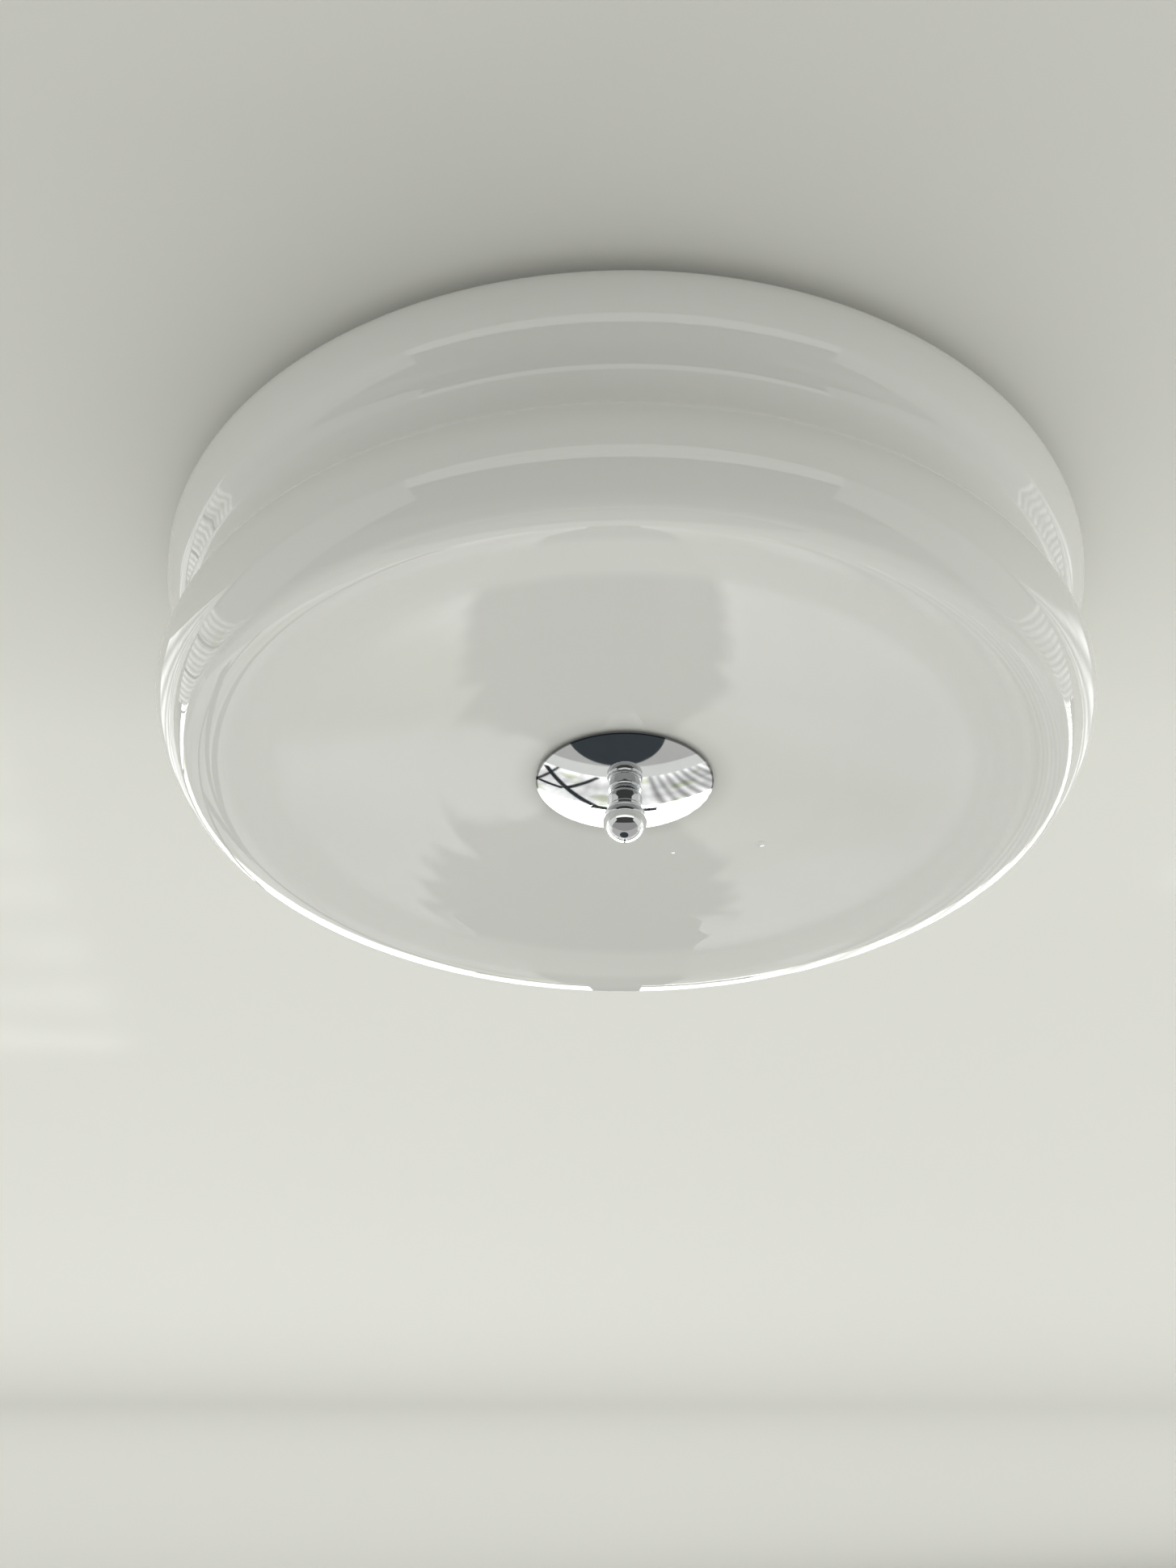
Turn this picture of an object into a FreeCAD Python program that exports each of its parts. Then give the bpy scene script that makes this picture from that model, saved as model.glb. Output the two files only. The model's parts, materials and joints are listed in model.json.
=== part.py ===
import FreeCAD, Part
import math
import os
from FreeCAD import Vector

# Flush mount ceiling light: a two-tier opal glass bowl hung on a central threaded rod,
# closed below by a chrome cap and a ball finial, over a steel pan with three screw bulbs.
# Millimetres. The origin is the centre of the pan's back face, on the ceiling. +Z is up,
# so the whole light hangs below zero. The light is seen from the -Y side.

os.makedirs("parts", exist_ok=True)

# Glass bowl, outer face. Angles are those of the face's outward normal above the horizontal.
TIER1_R = 202.0             # widest radius of the upper tier
TIER2_R = 200.0             # widest radius of the lower tier
TIER_SPACING = 65.4         # height from one widest line to the other
GLASS_WALL = 4.0
MOUTH_R = 172.0             # radius of the open top
LIP_ROUND = 1.2             # ground edge round the open top
SHOULDER_TOP_R = 11.0       # upper tier, round next to the lip
SHOULDER_SIDE_R = 15.5      # upper tier, round above its widest line
SHOULDER_SPLIT = 40.0       # angle where one round passes to the other
TIER1_FLANK_R = 34.0        # upper tier, round below its widest line
VALLEY_R = 19.0             # hollow between the two tiers
TIER2_SHOULDER_R = 17.5     # lower tier, round about its widest line
TIER2_SHOULDER_END = -12.0
TIER2_FLANK_R = 47.0        # lower tier, long slope to the bottom
TIER2_FLANK_END = -45.0
CORNER_R = 6.0              # tight turn at the foot of the slope
CORNER_END = -80.0
CREST_R = 45.0              # raised rim round the bottom face
DISH_DEPTH = 6.4            # rise of the bottom face from its rim to the middle
GLASS_HOLE_R = 9.0          # middle hole of the bottom face

# Ceiling pan, pressed from steel sheet
SHEET = 1.0
PAN_FLANGE_R = 188.0
PAN_WALL_TOP_R = 150.0
PAN_WALL_FOOT_R = 145.0
PAN_DEPTH = 22.0
PAN_BEND_R = 3.0            # inner radius of the pan's two bends
RIM_GASKET_T = 3.0
RIM_GASKET_IN = 174.0
RIM_GASKET_OUT = 186.0

# Crossbar that goes on the ceiling, and what the pan hangs from it by
BAR_LENGTH = 172.0
BAR_WIDTH = 25.0
BAR_T = 2.0
BAR_DROP = 5.0              # how far the middle of the bar stands off the ceiling
BAR_STEP_X = 54.0           # where the middle part ends
BAR_STEP_RUN = 6.0          # length of the slanted step
SLOT_X = 72.0               # centre of each ceiling screw's slot
SLOT_W = 5.0
SLOT_L = 14.0
BAR_CENTRE_HOLE_R = 6.0
BOLT_X = 40.0               # pan bolts, left and right of the middle
M4_R = 2.0
M4_HEAD_R = 3.8
M4_HEAD_H = 2.6
M4_NUT_AF = 7.0
M4_NUT_H = 3.2
M4_WASHER_R = 4.5
M4_WASHER_T = 0.8
CAP_NUT_SKIRT = 4.6
CAP_NUT_DOME_R = 3.2
BOLT_TIP_INSIDE = 5.4       # length of bolt inside its cap nut
NUT_CHAMFER = 0.6           # part of a nut's corner that its chamfer takes off
FIT = 0.05                  # radial clearance of a thread or shaft in its hole
HOLE_PLAY = 0.3             # radial clearance of a screw in a plain hole
PAST = 1.0                  # how far a hole's cutting tool runs past each face

# Central rod
ROD_R = 5.0
ROD_BORE_R = 2.5
ROD_TOP_ABOVE_NUT = 2.5
ROD_NUT_AF = 17.0
ROD_NUT_H = 6.0
ROD_WASHER_R = 10.5
ROD_WASHER_T = 1.5
ROD_INTO_FINIAL = 11.5
ROD_CHAMFER = 0.8
BLIND_END = 0.5             # room left past the end of a screw or rod in a blind hole

# Bush and gasket at the glass bottom, chrome cap and finial
BUSH_FLANGE_R = 13.0
BUSH_FLANGE_T = 1.5
BUSH_PLAY = 0.3
CAP_R = 37.8
CAP_RISE = 6.8              # depth of the domed cap
CAP_SHEET = 1.0
CAP_SEAT_GAP = 0.3          # glass to cap rim
CAP_LIP = 0.9               # depth of the turned edge of the cap
CAP_GASKET_IN = 24.0
CAP_GASKET_OUT = 33.0
GASKET_SEAT = 0.3
GASKET_GLASS_GAP = 0.2
COLLAR_R = 7.35
COLLAR_H = 6.8
COLLAR_ROUND = 2.4
COLLAR_SEAT = 0.1           # cap to collar
COLLAR_GROOVE_R = 7.0
COLLAR_GROOVE_H = 1.0
COLLAR_BEAD_R = 7.75
COLLAR_BEAD_H = 1.8
BALL_R = 9.3
BALL_SINK = 5.6             # depth of the ball's centre below the bead's top

# Lamp holders: each lies flat, its mouth outwards, its back to the rod
HOLDERS = 3
FIRST_ANGLE = 90.0
LAMP_AXIS_DROP = 31.0       # lamp axis below the pan's lower face
HOLDER_BACK = 26.0          # distance of the holder's back from the rod's axis
HOLDER_LENGTH = 46.0
HOLDER_R = 19.0
HOLDER_NECK_R = 17.0
HOLDER_FLOOR = 16.0         # solid length behind the screw shell
HOLDER_EDGE = 1.5           # chamfer at the holder's back
HOLDER_RIM = 4.0            # length of the raised rim at the mouth
HOLDER_RIM_UP = 0.6         # how far the rim stands out
HOLDER_STEP = 2.4           # length of the slope from the neck to the barrel
SHELL_T = 0.4
SHELL_LENGTH = 26.0
SHELL_START = 2.0           # shell's inner end above the holder's floor
SHELL_WAVE = 0.6            # height of the rolled thread's ridges
SHELL_PLAY = 0.4            # between bulb cap and shell
SHELL_SEAT = 0.1            # between shell and ceramic
THREAD_PITCH = 3.6
CONTACT_W = 6.0
CONTACT_T = 0.5
CONTACT_LIFT = 2.6
CONTACT_SIDE = 4.0          # from the tongue's ends to the shell
BRACKET_T = 1.5
BRACKET_W = 20.0
BRACKET_FOOT = 36.0
BRACKET_BEND_R = 1.5
BRACKET_BELOW_AXIS = 12.0
FOOT_SCREW_NEAR = 12.0      # first foot screw from the bracket's back
FOOT_SCREW_STEP = 14.0
FOOT_SCREW_LENGTH = 8.0
M3_R = 1.5
M3_HEAD_R = 2.8
M3_HEAD_H = 1.8
HOLDER_SCREW_Z = 8.0        # holder screws above and below the lamp axis
HOLDER_SCREW_LENGTH = 9.0

# Bulbs with a screw cap
BULB_CAP_R = 13.0
BULB_CAP_LENGTH = 22.0
BULB_CAP_T = 0.4
INSULATOR_LENGTH = 2.4
TIP_R = 4.6
TIP_LENGTH = 1.2
INSULATOR_INTO_CAP = 1.2
CONTACT_PLAY = 0.1
HOUSING_SKIRT_R = 14.4
HOUSING_LENGTH = 27.0
HOUSING_MOUTH_R = 19.6
HOUSING_T = 1.6
HOUSING_PLUG = 6.0          # length of housing inside the screw cap
HOUSING_SKIRT_H = 4.0       # straight part next to the cap
HOUSING_RIM_H = 3.0         # straight part next to the globe
MOUTH_PLAY = 0.6            # holder mouth to the bulb's housing
GLOBE_R = 22.5
GLOBE_T = 1.0
BOARD_T = 1.2
BOARD_R = 17.0
LED_SIZE = 2.8
LED_T = 0.7
LEDS = 8
LED_RING_R = 11.0

# Wiring inside the pan
LEAD_R = 1.1
LEAD_SPACING = 2.7          # between the two leads in one grommet
GROMMET_AT = 17.0           # grommets from the rod's axis
GROMMET_BORE_R = 2.75
GROMMET_BODY_R = 4.0
GROMMET_FLANGE_R = 4.9
GROMMET_FLANGE_T = 1.0
HOLDER_LEAD_SIDE = 14.0     # leads beside the bracket, at the holder's back
HOLDER_LEAD_UP = 4.0
LOW_LAYER = 0.5             # height of the lower layer of leads, between pan and crossbar
HIGH_LAYER = 0.786          # height of the upper layer
LEAD_RISE = 14.0            # from the holder's back up to the grommet
NEAR_WAY = ((14.0, 10.0),)  # way points before the terminal, on the +X side; -X is mirrored
OWN_WAY = ((23.0, -5.0),)
FAR_WAY_X = (-6.0, 12.0)    # run past the rod to the other side
FAR_WAY_Y = {-1: -20.0, 1: -24.0}
FAR_WAY_END = (29.0, -9.0)
PORT_RUN = 13.5             # straight run of a lead into its terminal
TERMINAL_X = 27.0
TERMINAL_Y = 24.0
TERMINAL_W = 22.0
TERMINAL_D = 15.0
TERMINAL_H = 11.0
TERMINAL_PITCH = 5.0
TERMINAL_WELL_R = 1.9
TERMINAL_SCREW_R = 1.6
TERMINAL_SCREW_H = 4.0
TERMINAL_FOOT = 5.0         # length of the fixing lug at the block's end
TERMINAL_LUG_H = 3.0
GRUB_SINK = 1.0             # clamp screws below the block's top
FIXING_HEAD_R = 2.4
FIXING_PAST = 2.0           # end of a fixing screw past the pan
EARTH_PAN = (0.0, -42.0)
EARTH_BAR_X = 20.0
EARTH_SCREW_PAST = 3.0      # end of an earth screw past the sheet it is in
EARTH_BEND = (12.0, 12.0)   # the earth lead's middle corner from its tag's tail
EARTH_RUN = 8.0             # straight run of the earth lead at each tag
LUG_NECK = 1.0              # from the tag's hole to where its tail begins
LUG_R = 4.4
LUG_T = 0.8
LUG_TAIL = 9.0
LUG_TAIL_W = 3.2

PAN_FACE = -PAN_DEPTH                       # lower face of the pan
PAN_BACK = PAN_FACE + SHEET                 # its upper face
LEAD_ROOM = PAN_DEPTH - SHEET - BAR_DROP - BAR_T    # from the pan's back up to the crossbar
LEAD_LOW = LOW_LAYER * LEAD_ROOM
LEAD_HIGH = HIGH_LAYER * LEAD_ROOM
SHADE_TOP = -(SHEET + RIM_GASKET_T)
LAMP_Z = PAN_FACE - LAMP_AXIS_DROP
HOLDER_MOUTH = HOLDER_BACK + HOLDER_LENGTH
SHELL_FLOOR = HOLDER_BACK + HOLDER_FLOOR
SHELL_R = BULB_CAP_R + SHELL_PLAY + SHELL_T + SHELL_WAVE


def save(name, *solids):
    """Writes one sub-part; several solids stay separate in one file."""
    shape = solids[0] if len(solids) == 1 else Part.makeCompound(list(solids))
    shape.exportStep("parts/" + name + ".step")
    volume = sum(s.Volume for s in solids)
    print(name, len(solids), round(volume, 1), all(s.isValid() for s in solids))


def turned(outline):
    """A solid of revolution about Z from corner points (radius, height)."""
    points = [Vector(r, 0, z) for r, z in outline]
    wire = Part.makePolygon(points + points[:1])
    return Part.Face(wire).revolve(Vector(0, 0, 0), Vector(0, 0, 1), 360)


def turned_edges(edges):
    """A solid of revolution about Z from edges that close an outline in the XZ plane."""
    return Part.Face(Part.Wire(edges)).revolve(Vector(0, 0, 0), Vector(0, 0, 1), 360)


def line(a, b):
    return Part.LineSegment(Vector(a[0], 0, a[1]), Vector(b[0], 0, b[1])).toShape()


def ring(inner, outer, low, high):
    return turned([(inner, low), (outer, low), (outer, high), (inner, high)])


def rod_between(radius, low, high, x=0.0, y=0.0):
    return Part.makeCylinder(radius, high - low, Vector(x, y, low))


def hexagon(across, low, high, x=0.0, y=0.0):
    corner = across / math.sqrt(3)
    points = []
    for k in range(7):
        a = math.radians(60 * k + 30)
        points.append(Vector(x + corner * math.cos(a), y + corner * math.sin(a), low))
    return Part.Face(Part.makePolygon(points)).extrude(Vector(0, 0, high - low))


def nut(across, bore, low, high, x=0.0, y=0.0):
    """A hexagon nut with its corners chamfered by a cone above and below."""
    corner = across / math.sqrt(3)
    flat = corner - (corner - across / 2) * NUT_CHAMFER
    rim = corner + PAST
    drop = (rim - flat) * math.tan(math.radians(30))
    cone = turned([(0, low), (flat, low), (rim, low + drop), (rim, high - drop), (flat, high), (0, high)])
    cone.translate(Vector(x, y, 0))
    body = hexagon(across, low, high, x, y).common(cone)
    return body.cut(rod_between(bore, low - PAST, high + PAST, x, y))


def pan_head(radius, height, low, x=0.0, y=0.0):
    """A low domed screw head with a cross recess, its flat side down at low."""
    sphere_r = (radius ** 2 + height ** 2) / (2 * height)
    dome = Part.makeSphere(sphere_r, Vector(x, y, low + height - sphere_r))
    head = dome.common(rod_between(radius, low, low + height, x, y))
    arm = radius * 1.1
    slit = radius * 0.24
    for dx, dy in ((arm, slit), (slit, arm)):
        box = Part.makeBox(dx, dy, height, Vector(x - dx / 2, y - dy / 2, low + height * 0.55))
        head = head.cut(box)
    return head


def screw(radius, head_r, head_h, length, x=0.0, y=0.0):
    """A screw pointing down, with the underside of its head at zero height."""
    shank = rod_between(radius, -length, 0.2, x, y)
    return pan_head(head_r, head_h, 0.0, x, y).fuse(shank).removeSplitter()


def flipped(shape):
    """Turned upside down about the X axis."""
    shape = shape.copy()
    shape.rotate(Vector(0, 0, 0), Vector(1, 0, 0), 180)
    return shape


def moved(shape, x, y, z):
    shape = shape.copy()
    shape.translate(Vector(x, y, z))
    return shape


def spun(shape, angle):
    shape = shape.copy()
    shape.rotate(Vector(0, 0, 0), Vector(0, 0, 1), angle)
    return shape


def outward(shape):
    """Lays a shape turned about +Z along +X, at the height of the lamp axis."""
    shape = shape.copy()
    shape.rotate(Vector(0, 0, 0), Vector(0, 1, 0), 90)
    shape.translate(Vector(0, 0, LAMP_Z))
    return shape


def holder_angle(k):
    return FIRST_ANGLE + 360.0 * k / HOLDERS


def normal(angle):
    a = math.radians(angle)
    return (math.cos(a), math.sin(a))


def chain(start, first_angle, stretches):
    """Tangent arcs from a start point: each stretch is (radius, angle at its end), with a
    minus radius where the face is hollow. Gives (centre, radius, first angle, last angle)."""
    arcs = []
    point = start
    angle = first_angle
    for radius, end in stretches:
        n = normal(angle)
        centre = (point[0] - radius * n[0], point[1] - radius * n[1])
        arcs.append((centre, radius, angle, end))
        n = normal(end)
        point = (centre[0] + radius * n[0], centre[1] + radius * n[1])
        angle = end
    return arcs


def on_arc(arc, angle, inset):
    centre, radius = arc[0], arc[1] - inset
    n = normal(angle)
    return (centre[0] + radius * n[0], centre[1] + radius * n[1])


def arc_edge(arc, inset, backwards=False):
    """One arc of a chain as an edge, moved inwards by the inset."""
    ends = [arc[2], (arc[2] + arc[3]) / 2, arc[3]]
    if backwards:
        ends.reverse()
    p, q, r = [on_arc(arc, a, inset) for a in ends]
    return Part.Arc(Vector(p[0], 0, p[1]), Vector(q[0], 0, q[1]), Vector(r[0], 0, r[1])).toShape()


def shifted(arc, dx):
    return ((arc[0][0] + dx, arc[0][1]),) + arc[1:]


def valley(tier1_z, tier2_z):
    """Angles at which the hollow of radius VALLEY_R leaves one tier and meets the other."""
    ax = TIER1_R - TIER1_FLANK_R
    bx = TIER2_R - TIER2_SHOULDER_R
    ra = TIER1_FLANK_R + VALLEY_R
    rb = TIER2_SHOULDER_R + VALLEY_R
    dx = bx - ax
    dz = tier2_z - tier1_z
    d = math.hypot(dx, dz)
    along = (ra ** 2 - rb ** 2 + d ** 2) / (2 * d)
    side = math.sqrt(ra ** 2 - along ** 2)
    cx = ax + along * dx / d - side * dz / d
    cz = tier1_z + along * dz / d + side * dx / d
    leave = math.degrees(math.atan2(cz - tier1_z, cx - ax))
    meet = math.degrees(math.atan2(cz - tier2_z, cx - bx))
    return leave, meet


def glass_arcs():
    """The outer face of the bowl from the top of its lip to the middle of its bottom."""
    split = math.radians(SHOULDER_SPLIT)
    rise = SHOULDER_SIDE_R * math.sin(split) + SHOULDER_TOP_R * (1 - math.sin(split))
    reach = SHOULDER_SIDE_R * (1 - math.cos(split)) + SHOULDER_TOP_R * math.cos(split)
    tier1_z = SHADE_TOP - rise
    tier2_z = tier1_z - TIER_SPACING
    leave, meet = valley(tier1_z, tier2_z)
    stretches = [(SHOULDER_TOP_R, SHOULDER_SPLIT), (SHOULDER_SIDE_R, 0.0),
                 (TIER1_FLANK_R, leave), (-VALLEY_R, meet),
                 (TIER2_SHOULDER_R, TIER2_SHOULDER_END), (TIER2_FLANK_R, TIER2_FLANK_END),
                 (CORNER_R, CORNER_END), (CREST_R, -90.0)]
    start = (TIER1_R - reach, SHADE_TOP)
    crest = on_arc(chain(start, 90.0, stretches)[-1], -90.0, 0.0)
    dish_r = (crest[0] ** 2 + DISH_DEPTH ** 2) / (2 * DISH_DEPTH) - CREST_R
    slope = math.degrees(math.asin(crest[0] / (CREST_R + dish_r)))
    stretches[-1] = (CREST_R, -90.0 - slope)
    stretches.append((-dish_r, -90.0))
    arcs = chain(start, 90.0, stretches)
    print("widest lines at", round(tier1_z, 2), round(tier2_z, 2), "bottom face radius", round(dish_r))
    return arcs, crest


GLASS_ARCS, CREST = glass_arcs()
DISH_Z = CREST[1] + DISH_DEPTH              # middle of the bottom face, outside
DISH_SPHERE_R = -GLASS_ARCS[-1][1]


def dish_drop(radius):
    """How far the bottom face lies below its middle at a radius."""
    return DISH_SPHERE_R - math.sqrt(DISH_SPHERE_R ** 2 - radius ** 2)


CAP_RIM_Z = DISH_Z - dish_drop(CAP_R) - CAP_SEAT_GAP
CAP_SPHERE_R = (CAP_R ** 2 + (CAP_RISE - CAP_LIP) ** 2) / (2 * (CAP_RISE - CAP_LIP))
CAP_APEX_Z = CAP_RIM_Z - CAP_RISE
COLLAR_TOP = CAP_APEX_Z - COLLAR_SEAT
BEAD_Z = COLLAR_TOP - COLLAR_H - COLLAR_GROOVE_H    # top of the bead above the ball
BALL_TOP = BEAD_Z - COLLAR_BEAD_H
BALL_Z = BEAD_Z - BALL_SINK
ROD_TOP = PAN_BACK + ROD_WASHER_T + ROD_NUT_H + ROD_TOP_ABOVE_NUT
ROD_BOTTOM = COLLAR_TOP - ROD_INTO_FINIAL


def glass_shade():
    """The opal bowl: one wall of even thickness with a flat lip and a round middle hole."""
    arcs = GLASS_ARCS
    top_out = on_arc(arcs[0], 90.0, 0.0)
    top_in = on_arc(arcs[0], 90.0, GLASS_WALL)
    bottom_out = on_arc(arcs[-1], -90.0, 0.0)
    bottom_in = on_arc(arcs[-1], -90.0, GLASS_WALL)
    edges = [arc_edge(a, 0.0) for a in arcs]
    edges.append(line(bottom_out, bottom_in))
    edges += [arc_edge(a, GLASS_WALL, True) for a in reversed(arcs)]
    edges.append(line(top_in, (MOUTH_R + LIP_ROUND, top_in[1])))
    edges.append(lip_round(top_in[1], 1))
    edges.append(line((MOUTH_R, top_in[1] + LIP_ROUND), (MOUTH_R, top_out[1] - LIP_ROUND)))
    edges.append(lip_round(top_out[1], -1))
    edges.append(line((MOUTH_R + LIP_ROUND, top_out[1]), top_out))
    bowl = turned_edges(edges)
    return bowl.cut(rod_between(GLASS_HOLE_R, DISH_Z - GLASS_WALL, DISH_Z + 2 * GLASS_WALL))


def lip_round(z, way):
    """Quarter round on the mouth's lower (way 1) or upper (way -1) edge."""
    middle = (MOUTH_R + LIP_ROUND, z + way * LIP_ROUND)
    k = math.sqrt(0.5) * LIP_ROUND
    ends = [(middle[0], z), (middle[0] - k, middle[1] - way * k), (MOUTH_R, middle[1])]
    if way < 0:
        ends.reverse()
    p, q, r = [Vector(a, 0, b) for a, b in ends]
    return Part.Arc(p, q, r).toShape()


def ceiling_pan():
    """Pressed pan: a flat flange on the ceiling, a sloping wall and a flat lower face."""
    slope = math.degrees(math.atan2(PAN_WALL_TOP_R - PAN_WALL_FOOT_R, PAN_DEPTH - SHEET))
    foot = chain((0.0, PAN_FACE), -90.0, [(PAN_BEND_R + SHEET, -slope)])[0]
    foot = shifted(foot, PAN_WALL_FOOT_R - on_arc(foot, -slope, 0.0)[0])
    head = chain((0.0, -SHEET), -90.0, [(-PAN_BEND_R, -slope)])[0]
    foot_end = on_arc(foot, -slope, 0.0)
    head_end = on_arc(head, -slope, 0.0)
    run = (head_end[1] - foot_end[1]) * math.tan(math.radians(slope))
    head = shifted(head, foot_end[0] + run - head_end[0])
    lower = [line((0, PAN_FACE), on_arc(foot, -90.0, 0.0)), arc_edge(foot, 0.0),
             line(foot_end, on_arc(head, -slope, 0.0)), arc_edge(head, 0.0, True),
             line(on_arc(head, -90.0, 0.0), (PAN_FLANGE_R, -SHEET))]
    upper = [line((PAN_FLANGE_R, 0), on_arc(head, -90.0, SHEET)), arc_edge(head, SHEET),
             line(on_arc(head, -slope, SHEET), on_arc(foot, -slope, SHEET)),
             arc_edge(foot, SHEET, True), line(on_arc(foot, -90.0, SHEET), (0, PAN_BACK))]
    rim = line((PAN_FLANGE_R, -SHEET), (PAN_FLANGE_R, 0))
    axis = line((0, PAN_BACK), (0, PAN_FACE))
    pan = turned_edges(lower + [rim] + upper + [axis])
    for x, y, radius in pan_holes():
        pan = pan.cut(rod_between(radius, PAN_FACE - PAST, PAN_BACK + PAST, x, y))
    return pan


def pan_holes():
    """Every hole in the pan's face as (x, y, radius)."""
    holes = [(0.0, 0.0, ROD_R + HOLE_PLAY)]
    holes += [(x, 0.0, M4_R + HOLE_PLAY) for x in (-BOLT_X, BOLT_X)]
    for k in range(HOLDERS):
        u = normal(holder_angle(k))
        holes.append((GROMMET_AT * u[0], GROMMET_AT * u[1], GROMMET_BODY_R + FIT))
        for r in foot_screw_places():
            holes.append((r * u[0], r * u[1], M4_R + HOLE_PLAY))
    holes += [(x, y, M3_R + FIT) for x, y in fixing_places()]
    holes.append((EARTH_PAN[0], EARTH_PAN[1], M4_R + FIT))
    return holes


def foot_screw_places():
    first = HOLDER_BACK - BRACKET_T + FOOT_SCREW_NEAR
    return [first, first + FOOT_SCREW_STEP]


def fixing_places():
    """The fixing screw of each terminal block, in the lug behind it."""
    y = TERMINAL_Y + TERMINAL_D / 2 + TERMINAL_FOOT / 2
    return [(-TERMINAL_X, y), (TERMINAL_X, y)]


def crossbar():
    """Steel strip along X whose ends lie on the ceiling and whose middle stands off it."""
    half = BAR_LENGTH / 2
    step = BAR_STEP_X + BAR_STEP_RUN
    top = [(-half, 0), (-step, 0), (-BAR_STEP_X, -BAR_DROP), (BAR_STEP_X, -BAR_DROP),
           (step, 0), (half, 0)]
    bottom = [(x, z - BAR_T) for x, z in reversed(top)]
    points = [Vector(x, -BAR_WIDTH / 2, z) for x, z in top + bottom]
    strip = Part.Face(Part.makePolygon(points + points[:1])).extrude(Vector(0, BAR_WIDTH, 0))
    corners = [e for e in strip.Edges if abs(abs(e.CenterOfMass.x) - half) < 0.01
               and e.Length < BAR_T + 0.01 and abs(abs(e.CenterOfMass.y) - BAR_WIDTH / 2) < 0.01]
    strip = strip.makeFillet(BAR_WIDTH / 5, corners)
    low = -BAR_DROP - BAR_T - PAST
    strip = strip.cut(rod_between(BAR_CENTRE_HOLE_R, low, PAST))
    for side in (-1, 1):
        strip = strip.cut(rod_between(M4_R + FIT, low, PAST, side * BOLT_X))
        strip = strip.cut(slot(side * SLOT_X))
    return strip.cut(rod_between(M4_R + FIT, low, PAST, EARTH_BAR_X, 0))


def slot(x):
    """A slot along X for a ceiling screw, centred at x."""
    reach = (SLOT_L - SLOT_W) / 2
    tool = Part.makeBox(2 * reach, SLOT_W, 3 * BAR_T, Vector(x - reach, -SLOT_W / 2, -2 * BAR_T))
    for end in (-reach, reach):
        tool = tool.fuse(rod_between(SLOT_W / 2, -2 * BAR_T, BAR_T, x + end))
    return tool.removeSplitter()


def crossbar_bolts():
    """Two bolts, heads between bar and ceiling, that carry the pan."""
    length = PAN_DEPTH + M4_WASHER_T + BOLT_TIP_INSIDE - BAR_DROP
    bolt = screw(M4_R, M4_HEAD_R, M4_HEAD_H, length)
    return [moved(bolt, x, 0, -BAR_DROP) for x in (-BOLT_X, BOLT_X)]


def cap_nut(x):
    """Hexagon nut with a closed dome, on the bolt tip under the pan."""
    top = PAN_FACE - M4_WASHER_T
    low = top - CAP_NUT_SKIRT
    skirt = nut(M4_NUT_AF, M4_R + FIT, low, top, x)
    dome = Part.makeSphere(CAP_NUT_DOME_R, Vector(x, 0, low))
    dome = dome.cut(rod_between(CAP_NUT_DOME_R + PAST, low, low + 2 * CAP_NUT_DOME_R, x))
    bore = rod_between(M4_R + FIT, top - BOLT_TIP_INSIDE - BLIND_END, top + PAST, x)
    return skirt.fuse(dome).removeSplitter().cut(bore)


def hanging_parts():
    """Crossbar, its bolts and lock nuts, and the washers and cap nuts under the pan."""
    save("crossbar", crossbar())
    save("crossbar_bolts", *crossbar_bolts())
    under_bar = -BAR_DROP - BAR_T
    lock = [nut(M4_NUT_AF, M4_R + FIT, under_bar - M4_NUT_H, under_bar, x) for x in (-BOLT_X, BOLT_X)]
    save("crossbar_lock_nuts", *lock)
    washer = ring(M4_R + HOLE_PLAY, M4_WASHER_R, PAN_FACE - M4_WASHER_T, PAN_FACE)
    save("pan_washers", *[moved(washer, x, 0, 0) for x in (-BOLT_X, BOLT_X)])
    save("pan_cap_nuts", *[cap_nut(x) for x in (-BOLT_X, BOLT_X)])


def rod_parts():
    """Hollow threaded rod with a washer and a nut on each side of the pan."""
    narrow = ROD_R - ROD_CHAMFER
    save("centre_rod", turned([
        (ROD_BORE_R, ROD_BOTTOM), (narrow, ROD_BOTTOM), (ROD_R, ROD_BOTTOM + ROD_CHAMFER),
        (ROD_R, ROD_TOP - ROD_CHAMFER), (narrow, ROD_TOP), (ROD_BORE_R, ROD_TOP)]))
    bore = ROD_R + FIT
    above = PAN_BACK + ROD_WASHER_T
    below = PAN_FACE - ROD_WASHER_T
    save("rod_washers", ring(ROD_R + HOLE_PLAY, ROD_WASHER_R, PAN_BACK, above),
         ring(ROD_R + HOLE_PLAY, ROD_WASHER_R, below, PAN_FACE))
    save("rod_nuts", nut(ROD_NUT_AF, bore, above, above + ROD_NUT_H),
         nut(ROD_NUT_AF, bore, below - ROD_NUT_H, below))


def glass_bush():
    """Soft bush that centres the glass on the rod, with a flange inside the bowl."""
    inside = DISH_Z + GLASS_WALL
    bore = ROD_R + 2 * HOLE_PLAY
    sleeve = GLASS_HOLE_R - BUSH_PLAY
    return turned([(bore, DISH_Z), (sleeve, DISH_Z), (sleeve, inside), (BUSH_FLANGE_R, inside),
                   (BUSH_FLANGE_R, inside + BUSH_FLANGE_T), (bore, inside + BUSH_FLANGE_T)])


def cap_outer_z(radius):
    """Height of the cap's domed outer face at a radius."""
    drop = CAP_SPHERE_R - math.sqrt(CAP_SPHERE_R ** 2 - radius ** 2)
    return CAP_APEX_Z + drop


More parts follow.
